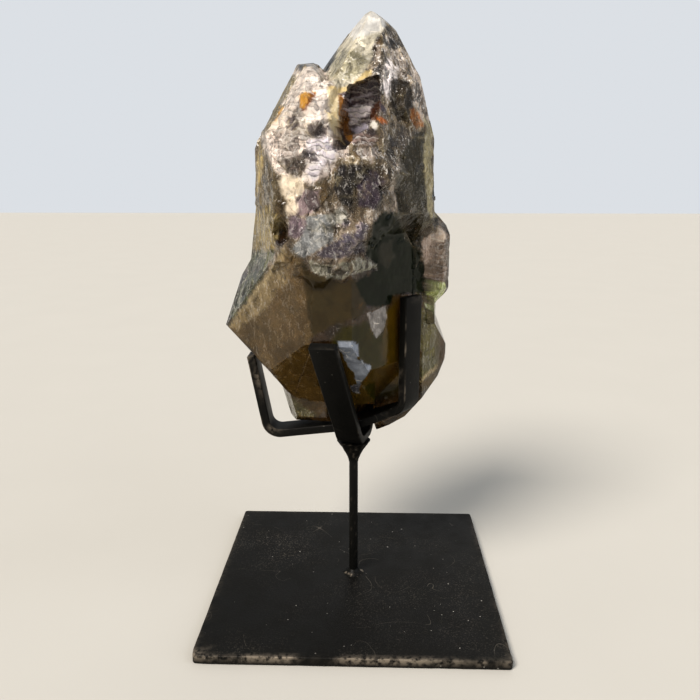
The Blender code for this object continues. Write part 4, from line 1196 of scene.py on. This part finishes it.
def stand_paint(name, settings, dust=0.3, scuffs=0.3):
    """Satin black enamel brushed on steel: dusty, finely scratched, rubbed thin along its edges."""
    speck_spacing = 2.2
    made, tree, place = new_material(name)
    wear_and_sheen_field, dusty = (add(tree, "Attribute", attribute_name=key)["Fac"] for key in ("wear_and_sheen", "dust"))
    cloudy, drift, powder, level, patchy, rubbed, grain = (
        add(tree, "TexNoise", {
            "Vector": place, "Scale": 1 / size, "Detail": detail, "Roughness": 0.55, "Distortion": bend})[0]
        for size, detail, bend in ENAMEL_NOISES)
    # dust: specks up to 0.3 mm in radius, and fine powder, both thicker in drifts
    cells = add(tree, "TexVoronoi", {"Vector": place, "Scale": 1 / speck_spacing})
    chance = add(tree, "SeparateColor", (cells["Color"],))
    chosen = add(tree, "MapRange", (chance[0], 0.72, 0.76), **SMOOTH)[0]
    radius = add(tree, "MapRange", (chance[1], 0.0, 1.0, 0.03, 0.13), **SMOOTH)[0]
    speck = add(tree, "Math", (cells["Distance"], radius), operation="LESS_THAN")[0]
    speck = add(tree, "Math", (speck, chosen), operation="MULTIPLY")[0]
    drift = add(tree, "MapRange", (drift, 0.4, 0.68, 0.1, 1.0), **SMOOTH)[0]
    dusty = add(tree, "Math", (dusty, 0.25), operation="ADD")[0]
    drift = add(tree, "Math", (drift, dusty), operation="MULTIPLY")[0]
    powder = add(tree, "MapRange", (powder, 0.52, 0.75, 0.0, dust), **SMOOTH)[0]
    powder = add(tree, "Math", (powder, drift), operation="MULTIPLY")[0]
    strength = add(tree, "MapRange", (drift, 0.0, 0.5, 0.25, 0.9), **SMOOTH)[0]
    speck = add(tree, "Math", (speck, strength), operation="MULTIPLY")[0]
    speck_share = add(tree, "Math", (speck, dust * 2.2), operation="MULTIPLY")[0]
    # hairline scratches, drawn about 0.15 mm wide so that they show
    line = add(tree, "Math", (level, 0.5), operation="SUBTRACT")[0]
    line = add(tree, "Math", (line,), operation="ABSOLUTE")[0]
    line = add(tree, "Math", (line, 0.0016), operation="LESS_THAN")[0]
    patchy = add(tree, "MapRange", (patchy, 0.52, 0.6, 0.0, scuffs), **SMOOTH)[0]
    line = add(tree, "Math", (line, patchy), operation="MULTIPLY")[0]
    # steel and grey primer show where edges are rubbed, and on the rod and weld beads the same pale metal
    # is also painted sheen
    rubbed = add(tree, "MapRange", (rubbed, 0.32, 0.6), **SMOOTH)[0]
    wear_and_sheen = add(tree, "Math", (wear_and_sheen_field, rubbed), operation="MULTIPLY")[0]
    colour = (*settings.paint_colour, 1.0)
    for share, code in (
            (cloudy, "171613"), (powder, "8c857a"), (speck_share, "c9c5bb"), (line, "6e685e"),
            (wear_and_sheen, "8d8375")):
        colour = add(tree, "Mix", {0: share, 6: colour, 7: linear(code)}, data_type="RGBA")[2]
    low, high = settings.paint_roughness - 0.05, settings.paint_roughness + 0.07
    rough = add(tree, "MapRange", (cloudy, 0.3, 0.7, low, high), **SMOOTH)[0]
    rough = add(tree, "Math", (powder, 0.5, rough), operation="MULTIPLY_ADD")[0]
    rough = add(tree, "Math", (speck, 0.3, rough), operation="MULTIPLY_ADD")[0]
    metal = add(tree, "Math", (wear_and_sheen, 0.5), operation="MULTIPLY")[0]
    height = add(tree, "Math", (speck, 1.5, grain), operation="MULTIPLY_ADD")[0]
    bump = add(tree, "Bump", {"Height": height, "Strength": 0.3, "Distance": 0.00012})[0]
    skin = add(tree, "BsdfPrincipled", {
        "Base Color": colour, "Metallic": metal, "Roughness": rough, "Specular IOR Level": 0.15,
        "Normal": bump})[0]
    add(tree, "OutputMaterial", {"Surface": skin})
    return made


# ---------------------------------------------------------------- the stand's surfaces

# Places and roundings in mm.
PLATE_EDGE = 0.55
BAR_EDGE = 0.55
ROD_X, ROD_TOP = -0.5, 49.4
ROD_GAP = 0.02
FRONT_CORNER_WORN = 0.55
END_DRAW = 0.28
END_LENGTH = 0.3


def millimetres(length):
    """A length setting in millimetres, freed of the setting's single precision."""
    return round(length / MM, 4)


def outward(points, triangles):
    """The triangles turned so that the closed surface they make faces outwards."""
    a, b, c = (points[triangles[:, k]] for k in range(3))
    return triangles if (np.cross(a, b) * c).sum() > 0 else triangles[:, ::-1]


def stack_of(rings, middles, name, surface, sharp, fields):
    """A closed piece from an array of rings (ring, place in ring, xyz) and its caps' two centres."""
    count, around = rings.shape[:2]
    points = np.concatenate([rings.reshape(-1, 3), np.array(middles, float)])
    triangles = outward(points, tube_triangles(count, around))
    fields = {key: np.concatenate([values.reshape(-1), [0.0, 0.0]]) for key, values in fields.items()}
    return write_mesh(name, points, triangles, surface, sharp, fields)


def rounded_ring(wide, thick, corner, corner_steps, side_steps=1):
    """A rounded rectangle of half sizes: at each corner a quarter circle, and even steps between."""
    turn = np.linspace(0, math.pi / 2, corner_steps)
    share = np.linspace(0, 1, side_steps + 1)[1:-1, None]
    middles = np.array([(1, 1), (-1, 1), (-1, -1), (1, -1)]) * (wide - corner, thick - corner)
    arcs = []
    for k, middle in enumerate(middles):
        angle = turn + k * math.pi / 2
        arcs.append(middle + corner * np.stack([np.cos(angle), np.sin(angle)], 1))
    parts = []
    for k, arc in enumerate(arcs):
        # a side runs on from this arc's end to the place at the same turn of the next corner
        ahead = arc[-1:] + middles[(k + 1) % 4] - middles[k]
        parts += [arc, arc[-1:] * (1 - share) + ahead * share]
    return np.concatenate(parts)


def spot(x, y, middle, reach):
    """A soft spot on the plate: one at its middle, falling as the bell curve of both reaches."""
    return np.exp(-((x - middle[0]) / reach[0]) ** 2 - ((y - middle[1]) / reach[1]) ** 2)


def plate_piece(surface, side, thick):
    """The base plate: rounded squares stacked from the under side over eased edges to the top.

    Ring insets and heights follow two quarter circles; noise nicks the edges and rounds off
    the front left corner.
    """
    turn = np.linspace(0, math.pi / 2, 5)
    low = [(PLATE_EDGE * (1 - math.sin(a)), PLATE_EDGE * (1 - math.cos(a))) for a in turn]
    high = [(PLATE_EDGE * (1 - math.cos(a)), thick - PLATE_EDGE * (1 - math.sin(a))) for a in turn]
    flat = [(inset, thick) for inset in (1.2, 2.5, 6, 12, 20, 30, 42)]
    insets = [(30, 0.0), (8, 0.0)] + low + high + flat
    rings = []
    for inset, height in insets:
        half = side / 2 - inset
        ring = rounded_ring(half, half, max(1.0 - inset * 0.3, 0.3), 6, 36)
        rings.append(np.concatenate([ring, np.full((len(ring), 1), height)], 1))
    rings = np.array(rings)
    points = rings.reshape(-1, 3)
    rim = np.exp(-np.array([inset for inset, _ in insets]) / 0.8)[:, None] * np.ones(rings.shape[:2])
    nick = 0.10 * ease(cloud(points, 2.2, 61, 2), 0.1, 0.6) + 0.06 * ease(cloud(points, 9, 67, 2), 0, 0.6)
    corner = np.linalg.norm(points[:, :2] + side / 2, axis=1)
    nick += FRONT_CORNER_WORN * np.exp(-(corner / 2.2) ** 2)
    inwards = -points * (1, 1, 0)
    inwards /= np.linalg.norm(inwards, axis=1)[:, None]
    rings = (points + inwards * (nick * rim.ravel())[:, None]).reshape(rings.shape)
    top = np.array([height > thick - 0.7 for _, height in insets])[:, None]
    scuffed = ease(cloud(points * (1, 1, 0), 7, 71, 3), -0.5, 0.3).reshape(rim.shape)
    front = np.where(rings[..., 1] < -side / 2 + 2.0, 1.0, 0.3)
    wear_and_sheen = rim * top * scuffed * front
    wear_and_sheen = np.maximum(wear_and_sheen, np.exp(-(corner / 3.0) ** 2).reshape(rim.shape) * top)
    x, y = rings[..., 0], rings[..., 1]
    dust = 0.25 + 0.75 * spot(x, y, (-34, 26), (20, 24))
    dust = np.maximum(dust, 0.8 * spot(0, y, (0, -47), (1, 5)))
    dust = np.maximum(dust, 0.6 * spot(x, y, (10, 16), (16, 14)))
    return stack_of(rings, [(0, 0, 0), (0, 0, thick)], "base_plate_steel", surface, 40,
                    {"wear_and_sheen": wear_and_sheen, "dust": dust})


def turned_piece(name, profile, sides, surface, uneven, seed, dust):
    """A piece turned about the rod's line: a profile of (radius, height), its radius varied by noise."""
    profile = np.array(profile, float)
    turn = 2 * math.pi * np.arange(sides) / sides
    circle = np.stack([np.cos(turn), np.sin(turn), np.zeros(sides)], 1)
    rings = circle[None] * profile[:, None, :1] + np.array([0, 0, 1.0]) * profile[:, None, 1:]
    swell = 1 + uneven * cloud(rings.reshape(-1, 3), 1.6, seed, 2).reshape(rings.shape[:2])
    rings[..., :2] *= swell[..., None]
    rings[..., 0] += ROD_X
    # pale metal patches laid into the wear field: partly rubbed enamel, partly painted sheen, scaled by
    # dust
    shine = ease(cloud(rings.reshape(-1, 3), 1.2, seed + 1, 2), 0.2, 0.6).reshape(swell.shape)
    caps = [(ROD_X, 0, profile[0, 1]), (ROD_X, 0, profile[-1, 1])]
    return stack_of(rings, caps, name, surface, 50, {"wear_and_sheen": shine * dust, "dust": shine * 0 + dust})


def bent_route(corners, turns, radius, bend_steps=14, spacing=3.0):
    """A bar's middle line and the direction of its width: straight runs joined by arcs of one radius."""
    corners = [np.array(c, float) for c in corners]
    line = [(corners[0], turns[0])]
    for k in range(1, len(corners) - 1):
        back = corners[k - 1] - corners[k]
        ahead = corners[k + 1] - corners[k]
        back, ahead = back / np.linalg.norm(back), ahead / np.linalg.norm(ahead)
        half = math.acos(float(np.clip(back @ ahead, -1, 1))) / 2
        run = radius / math.tan(half)
        inner = (back + ahead) / np.linalg.norm(back + ahead)
        middle = corners[k] + inner * (radius / math.sin(half))
        first, last = corners[k] + back * run - middle, corners[k] + ahead * run - middle
        whole = math.pi - 2 * half
        for step in range(bend_steps + 1):
            share = step / bend_steps
            arm = (first * math.sin((1 - share) * whole) + last * math.sin(share * whole)) / math.sin(whole)
            line.append((middle + arm, turns[k]))
    line.append((corners[-1], turns[-1]))
    places, azimuths = [line[0][0]], [line[0][1]]
    for (p, a), (q, b) in zip(line, line[1:]):
        steps = max(1, round(float(np.linalg.norm(q - p)) / spacing))
        for s in range(1, steps + 1):
            places.append(p + (q - p) * s / steps)
            azimuths.append(a + (b - a) * s / steps)
    return np.array(places), np.radians(azimuths)


def bar_piece(name, corners, turns, surface, settings):
    """A flat bar: a rounded rectangle carried along a bent line, with its sheared ends eased.

    At each place the width runs along the given azimuth made square to the line, and the
    thickness along the cross product of both. Two short rings at each end draw the outline in.
    """
    wide, thick = millimetres(settings.bar_width) / 2, millimetres(settings.bar_thick) / 2
    places, azimuths = bent_route(corners, turns, millimetres(settings.bend_radius))
    ahead = np.gradient(places, axis=0)
    ahead /= np.linalg.norm(ahead, axis=1)[:, None]
    across = np.stack([np.cos(azimuths), np.sin(azimuths), np.zeros(len(azimuths))], 1)
    across -= ahead * (across * ahead).sum(1)[:, None]
    across /= np.linalg.norm(across, axis=1)[:, None]
    up = np.cross(ahead, across)
    outline = rounded_ring(wide, thick, BAR_EDGE, 5)
    first, last = places[0] + ahead[0] * END_LENGTH, places[-1] - ahead[-1] * END_LENGTH
    places = np.concatenate([[places[0], first], places[1:-1], [last, places[-1]]])
    repeat = [0, 0, *range(1, len(ahead) - 1), len(ahead) - 1, len(ahead) - 1]
    across, up = across[repeat], up[repeat]
    shapes = np.tile(outline, (len(places), 1, 1))
    shapes[[0, -1]] -= np.sign(outline) * END_DRAW
    rings = places[:, None] + across[:, None] * shapes[..., :1] + up[:, None] * shapes[..., 1:]
    points = rings.reshape(-1, 3)
    swell = 0.04 * cloud(points, 7, 73, 2).reshape(rings.shape[:2])
    outer = rings - places[:, None]
    rings = rings + outer / np.linalg.norm(outer, axis=2)[..., None] * swell[..., None]
    rounded = (np.abs(outline) > (wide - BAR_EDGE, thick - BAR_EDGE)).all(1)
    edge = np.tile(rounded, (len(places), 1)).astype(float)
    edge[[0, 1, -2, -1]] = 1
    rubbed = ease(cloud(points, 5, 79, 3), 0.05, 0.5).reshape(edge.shape)
    fields = {"wear_and_sheen": edge * rubbed * 0.55, "dust": 0.12 + 0 * edge}
    return stack_of(rings, [places[0], places[-1]], name, surface, 35, fields)


def floor_piece(surface):
    """A flat square 6 m wide, a hair below the plate."""
    reach, drop = 3000.0, -0.02
    corners = np.array([(-reach, -reach, drop), (reach, -reach, drop), (reach, reach, drop),
                        (-reach, reach, drop)])
    return write_mesh("floor", corners, np.array([(0, 1, 2), (0, 2, 3)]), surface, 30)


# ---------------------------------------------------------------- settings


class StoneSettings(bpy.types.PropertyGroup):
    """What a user would change on the quartz."""

    around: IntProperty(name="Around", description="Grid steps round the stone", default=360, min=60)
    along: IntProperty(name="Along", description="Grid steps from tip to foot", default=266, min=40)
    seed: IntProperty(name="Seed", description="Places the small growths by chance", default=41, min=0)
    relief: FloatProperty(name="Relief", description="Strength of the etched grain", default=1.0, min=0)
    smoke_colour: FloatVectorProperty(
        name="Smoke", description="Colour left after light crosses the stone", subtype="COLOR",
        default=(0.58, 0.40, 0.16), min=0, max=1)
    smoke_density: FloatProperty(
        name="Smoke density", description="Absorption for each metre of depth", default=42.0, min=0)


class StandSettings(bpy.types.PropertyGroup):
    """What a user would change on the stand."""

    plate_side: FloatProperty(
        name="Plate side", description="Side of the square base plate", unit="LENGTH",
        default=CAD_BOX[1][0] - CAD_BOX[0][0], min=0.02)
    plate_thick: FloatProperty(
        name="Plate thickness", description="Thickness of the base plate", unit="LENGTH",
        default=0.0032, min=0.0015)
    rod_radius: FloatProperty(
        name="Rod radius", description="Radius of the upright rod", unit="LENGTH",
        default=0.0016, min=0.0005)
    bar_width: FloatProperty(
        name="Bar width", description="Width of the flat bars", unit="LENGTH", default=0.0092, min=0.002)
    bar_thick: FloatProperty(
        name="Bar thickness", description="Thickness of the flat bars", unit="LENGTH",
        default=0.0030, min=0.0015)
    bend_radius: FloatProperty(
        name="Bend radius", description="Radius of the bars' bends along their middle", unit="LENGTH",
        default=0.0050, min=0.002)
    paint_colour: FloatVectorProperty(
        name="Paint", description="Colour of the enamel", subtype="COLOR",
        default=linear("0d0d0c")[:3], min=0, max=1)
    paint_roughness: FloatProperty(
        name="Paint roughness", description="Satin finish of the enamel", default=0.46, min=0, max=1)


class StageSettings(bpy.types.PropertyGroup):
    """What a user would change on the floor, the lights and the camera."""

    floor_colour: FloatVectorProperty(
        name="Floor", description="Colour of the plain floor", subtype="COLOR",
        default=linear("c6c3bb")[:3], min=0, max=1)
    key_power: FloatProperty(name="Key", description="Strength of the main soft light", default=3.1)
    fill_power: FloatProperty(name="Fill", description="Strength of the side light", default=0.8)
    back_power: FloatProperty(name="Back", description="Strength of the light behind", default=0.35)
    sky: FloatProperty(name="Sky", description="Strength of the even light all round", default=0.36)
    backdrop: FloatProperty(name="Backdrop", description="Brightness of the backdrop as seen", default=0.75)
    lens: FloatProperty(
        name="Lens", description="Focal length on a 36 mm wide sensor", unit="CAMERA", default=36.708)


# ---------------------------------------------------------------- operators


CAMERA_PLACE = (0.00551, -0.24594, 0.14967)
CAMERA_YAW, CAMERA_DOWN = -1.707, 13.493


def ready(piece, slot, *nodes):
    """Seats a finished piece on the part's one body, in place of the CAD nodes it stands for."""
    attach(piece, BODY)
    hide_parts(*nodes)


class QUARTZ_OT_stage(bpy.types.Operator):
    """Adds the pale floor, the soft lights, the sky and the camera."""

    bl_idname = "quartz.stage"
    bl_label = "Stage"

    def execute(self, context):
        settings = context.scene.quartz_stage
        floor_piece(paper(settings))

        world = bpy.data.worlds.new("soft_sky")
        world.use_nodes = True
        tree = world.node_tree
        sky = tree.nodes["Background"]
        sky.inputs["Color"].default_value = linear("e9edf2")
        # the backdrop itself is paler than the light it gives
        seen = add(tree, "LightPath")["Is Camera Ray"]
        strength = add(tree, "MapRange", (seen, 0.0, 1.0, settings.sky, settings.backdrop))[0]
        tree.links.new(strength, sky.inputs["Strength"])
        context.scene.world = world
        context.scene.view_settings.view_transform = "Standard"
        context.scene.view_settings.look = "Medium High Contrast"

        lamps = (("key", (-0.50, -0.62, 0.85), 24, settings.key_power, "fff7ee"),
                 ("fill", (0.75, -0.35, 0.45), 60, settings.fill_power, "eef3ff"),
                 ("back", (0.2, 0.8, 0.9), 50, settings.back_power, "fffaf2"))
        for name, place, spread, power, colour in lamps:
            lamp = bpy.data.lights.new(name, "SUN")
            lamp.angle = math.radians(spread)
            lamp.energy = power
            lamp.color = linear(colour)[:3]
            holder = bpy.data.objects.new(name, lamp)
            holder.location = place
            holder.rotation_euler = (-Vector(place)).to_track_quat("-Z", "Y").to_euler()
            context.scene.collection.objects.link(holder)

        camera = bpy.data.cameras.new("camera")
        camera.sensor_width = 36.0
        camera.lens = settings.lens
        camera.clip_start = 0.01
        camera.clip_end = 20.0
        holder = bpy.data.objects.new("camera", camera)
        holder.location = CAMERA_PLACE
        yaw, down = math.radians(CAMERA_YAW), math.radians(CAMERA_DOWN)
        ahead = Vector((math.sin(yaw) * math.cos(down), math.cos(yaw) * math.cos(down), -math.sin(down)))
        holder.rotation_euler = ahead.to_track_quat("-Z", "Y").to_euler()
        context.scene.collection.objects.link(holder)
        context.scene.camera = holder
        return {"FINISHED"}


class QUARTZ_OT_plate(bpy.types.Operator):
    """Makes the square base plate with rubbed edges and dust."""

    bl_idname = "quartz.plate"
    bl_label = "Base plate"

    def execute(self, context):
        settings = context.scene.quartz_stand
        paint = stand_paint("satin_black_enamel_plate", settings, 0.32, 0.4)
        side, thick = millimetres(settings.plate_side), millimetres(settings.plate_thick)
        ready(plate_piece(paint, side, thick), "painted_steel", "base_plate")
        return {"FINISHED"}


class QUARTZ_OT_rod(bpy.types.Operator):
    """Makes the upright rod and the two rough weld beads at its ends."""

    bl_idname = "quartz.rod"
    bl_label = "Rod and welds"

    def execute(self, context):
        settings = context.scene.quartz_stand
        paint = stand_paint("satin_black_enamel_rod", settings, 0.1, 0.1)
        radius = millimetres(settings.rod_radius)
        heights = np.linspace(millimetres(settings.plate_thick) + ROD_GAP, ROD_TOP, 40)
        rod = turned_piece("stand_rod", [(radius, z) for z in heights], 40, paint, 0.012, 83, 0.1)
        ready(rod, "painted_steel", "rod")
        bead = stand_paint("enamel_on_weld_bead", settings, 0.3, 0.0)
        share = np.linspace(0, 1, 12)
        fillet = [(1.5 + 2.3 * (1 - t) ** 2.2, 3.25 + 2.7 * t) for t in share]
        ready(turned_piece("foot_weld_bead", fillet, 56, bead, 0.16, 89, 0.9), "weld", "foot_weld")
        share = np.linspace(0, 1, 24)
        flare = [(1.75 + 4.35 * t ** 1.5, 48.7 + 8.2 * t) for t in share]
        ready(turned_piece("hub_weld_bead", flare, 64, bead, 0.07, 97, 0.35), "weld", "hub_weld")
        return {"FINISHED"}


class QUARTZ_OT_straps(bpy.types.Operator):
    """Makes the two bent flat bars that hold the stone."""

    bl_idname = "quartz.straps"
    bl_label = "Bent bars"

    def execute(self, context):
        settings = context.scene.quartz_stand
        paint = stand_paint("satin_black_enamel_bar", settings, 0.16, 0.15)
        side = [(-36.5, 0, 89.3), (-31.0, 0, 60.2), (-0.5, 0, 63.6), (13.5, -2.0, 69.2),
                (18.9, -5.8, 71.6), (19.1, -6, 111.0)]
        cross = [(-9.6, -29.0, 98.8), (-1.5, -5.6, 58.9), (1.5, 5.6, 58.9), (7.9, 30.2, 94.0),
                 (8.3, 31.4, 104.0)]
        for name, corners, turns, node in (
                ("side_bar", side, [90, 90, 90, 78, 54, 50], "side_strap"),
                ("cross_bar", cross, [-15] * len(cross), "cross_strap")):
            ready(bar_piece(name, corners, turns, paint, settings), "painted_steel", node)
        return {"FINISHED"}


class QUARTZ_OT_stone(bpy.types.Operator):
    """Makes the smoky quartz: its crystal faces, etched plates, pits, grain and colours."""

    bl_idname = "quartz.stone"
    bl_label = "Quartz"

    def execute(self, context):
        settings = context.scene.quartz_stone
        surface = stone_surface(settings.around, settings.along, settings.seed)
        points, edge_gap = crisp_edges(surface, surface.points)
        triangles = split_quads(surface, points)
        normals, _ = surface.own_planes()
        normals = np.where(surface.inward[:, None], -normals, normals)
        fields = stone_colours(points, normals, edge_gap, surface.hollow & surface.inward)
        lift = relief(points, normals, fields["frost"]) * settings.relief
        points = points + normals * lift[:, None]
        stone = write_mesh("quartz_stone", points, triangles, smoky_quartz(settings), 28, fields)
        ready(stone, "smoky_quartz", "quartz_crystal")
        return {"FINISHED"}


class QUARTZ_PT_panel(bpy.types.Panel):
    """Lists the pieces and their settings."""

    bl_label = "Quartz on a stand"
    bl_idname = "QUARTZ_PT_panel"
    bl_space_type = "VIEW_3D"
    bl_region_type = "UI"
    bl_category = "Quartz"

    def draw(self, context):
        """Draws a button for each step, then each group's settings."""
        column = self.layout.column()
        for step in STEPS:
            column.operator(step.bl_idname)
        for group in (context.scene.quartz_stone, context.scene.quartz_stand, context.scene.quartz_stage):
            box = self.layout.box()
            for key in group.__annotations__:
                box.prop(group, key)


SETTINGS = {"quartz_stone": StoneSettings, "quartz_stand": StandSettings, "quartz_stage": StageSettings}
STEPS = (QUARTZ_OT_stage, QUARTZ_OT_plate, QUARTZ_OT_rod, QUARTZ_OT_straps, QUARTZ_OT_stone)


def register():
    """Makes the settings, the steps and the panel known."""
    for kind in (*SETTINGS.values(), *STEPS, QUARTZ_PT_panel):
        bpy.utils.register_class(kind)
    for key, kind in SETTINGS.items():
        setattr(bpy.types.Scene, key, PointerProperty(type=kind))


def unregister():
    """Takes all of them back."""
    for key in SETTINGS:
        delattr(bpy.types.Scene, key)
    for kind in reversed((*SETTINGS.values(), *STEPS, QUARTZ_PT_panel)):
        bpy.utils.unregister_class(kind)


def main():
    """Runs every step in order."""
    register()
    bpy.ops.quartz.stage()
    bpy.ops.quartz.plate()
    bpy.ops.quartz.rod()
    bpy.ops.quartz.straps()
    bpy.ops.quartz.stone()


if __name__ == "__main__":
    main()
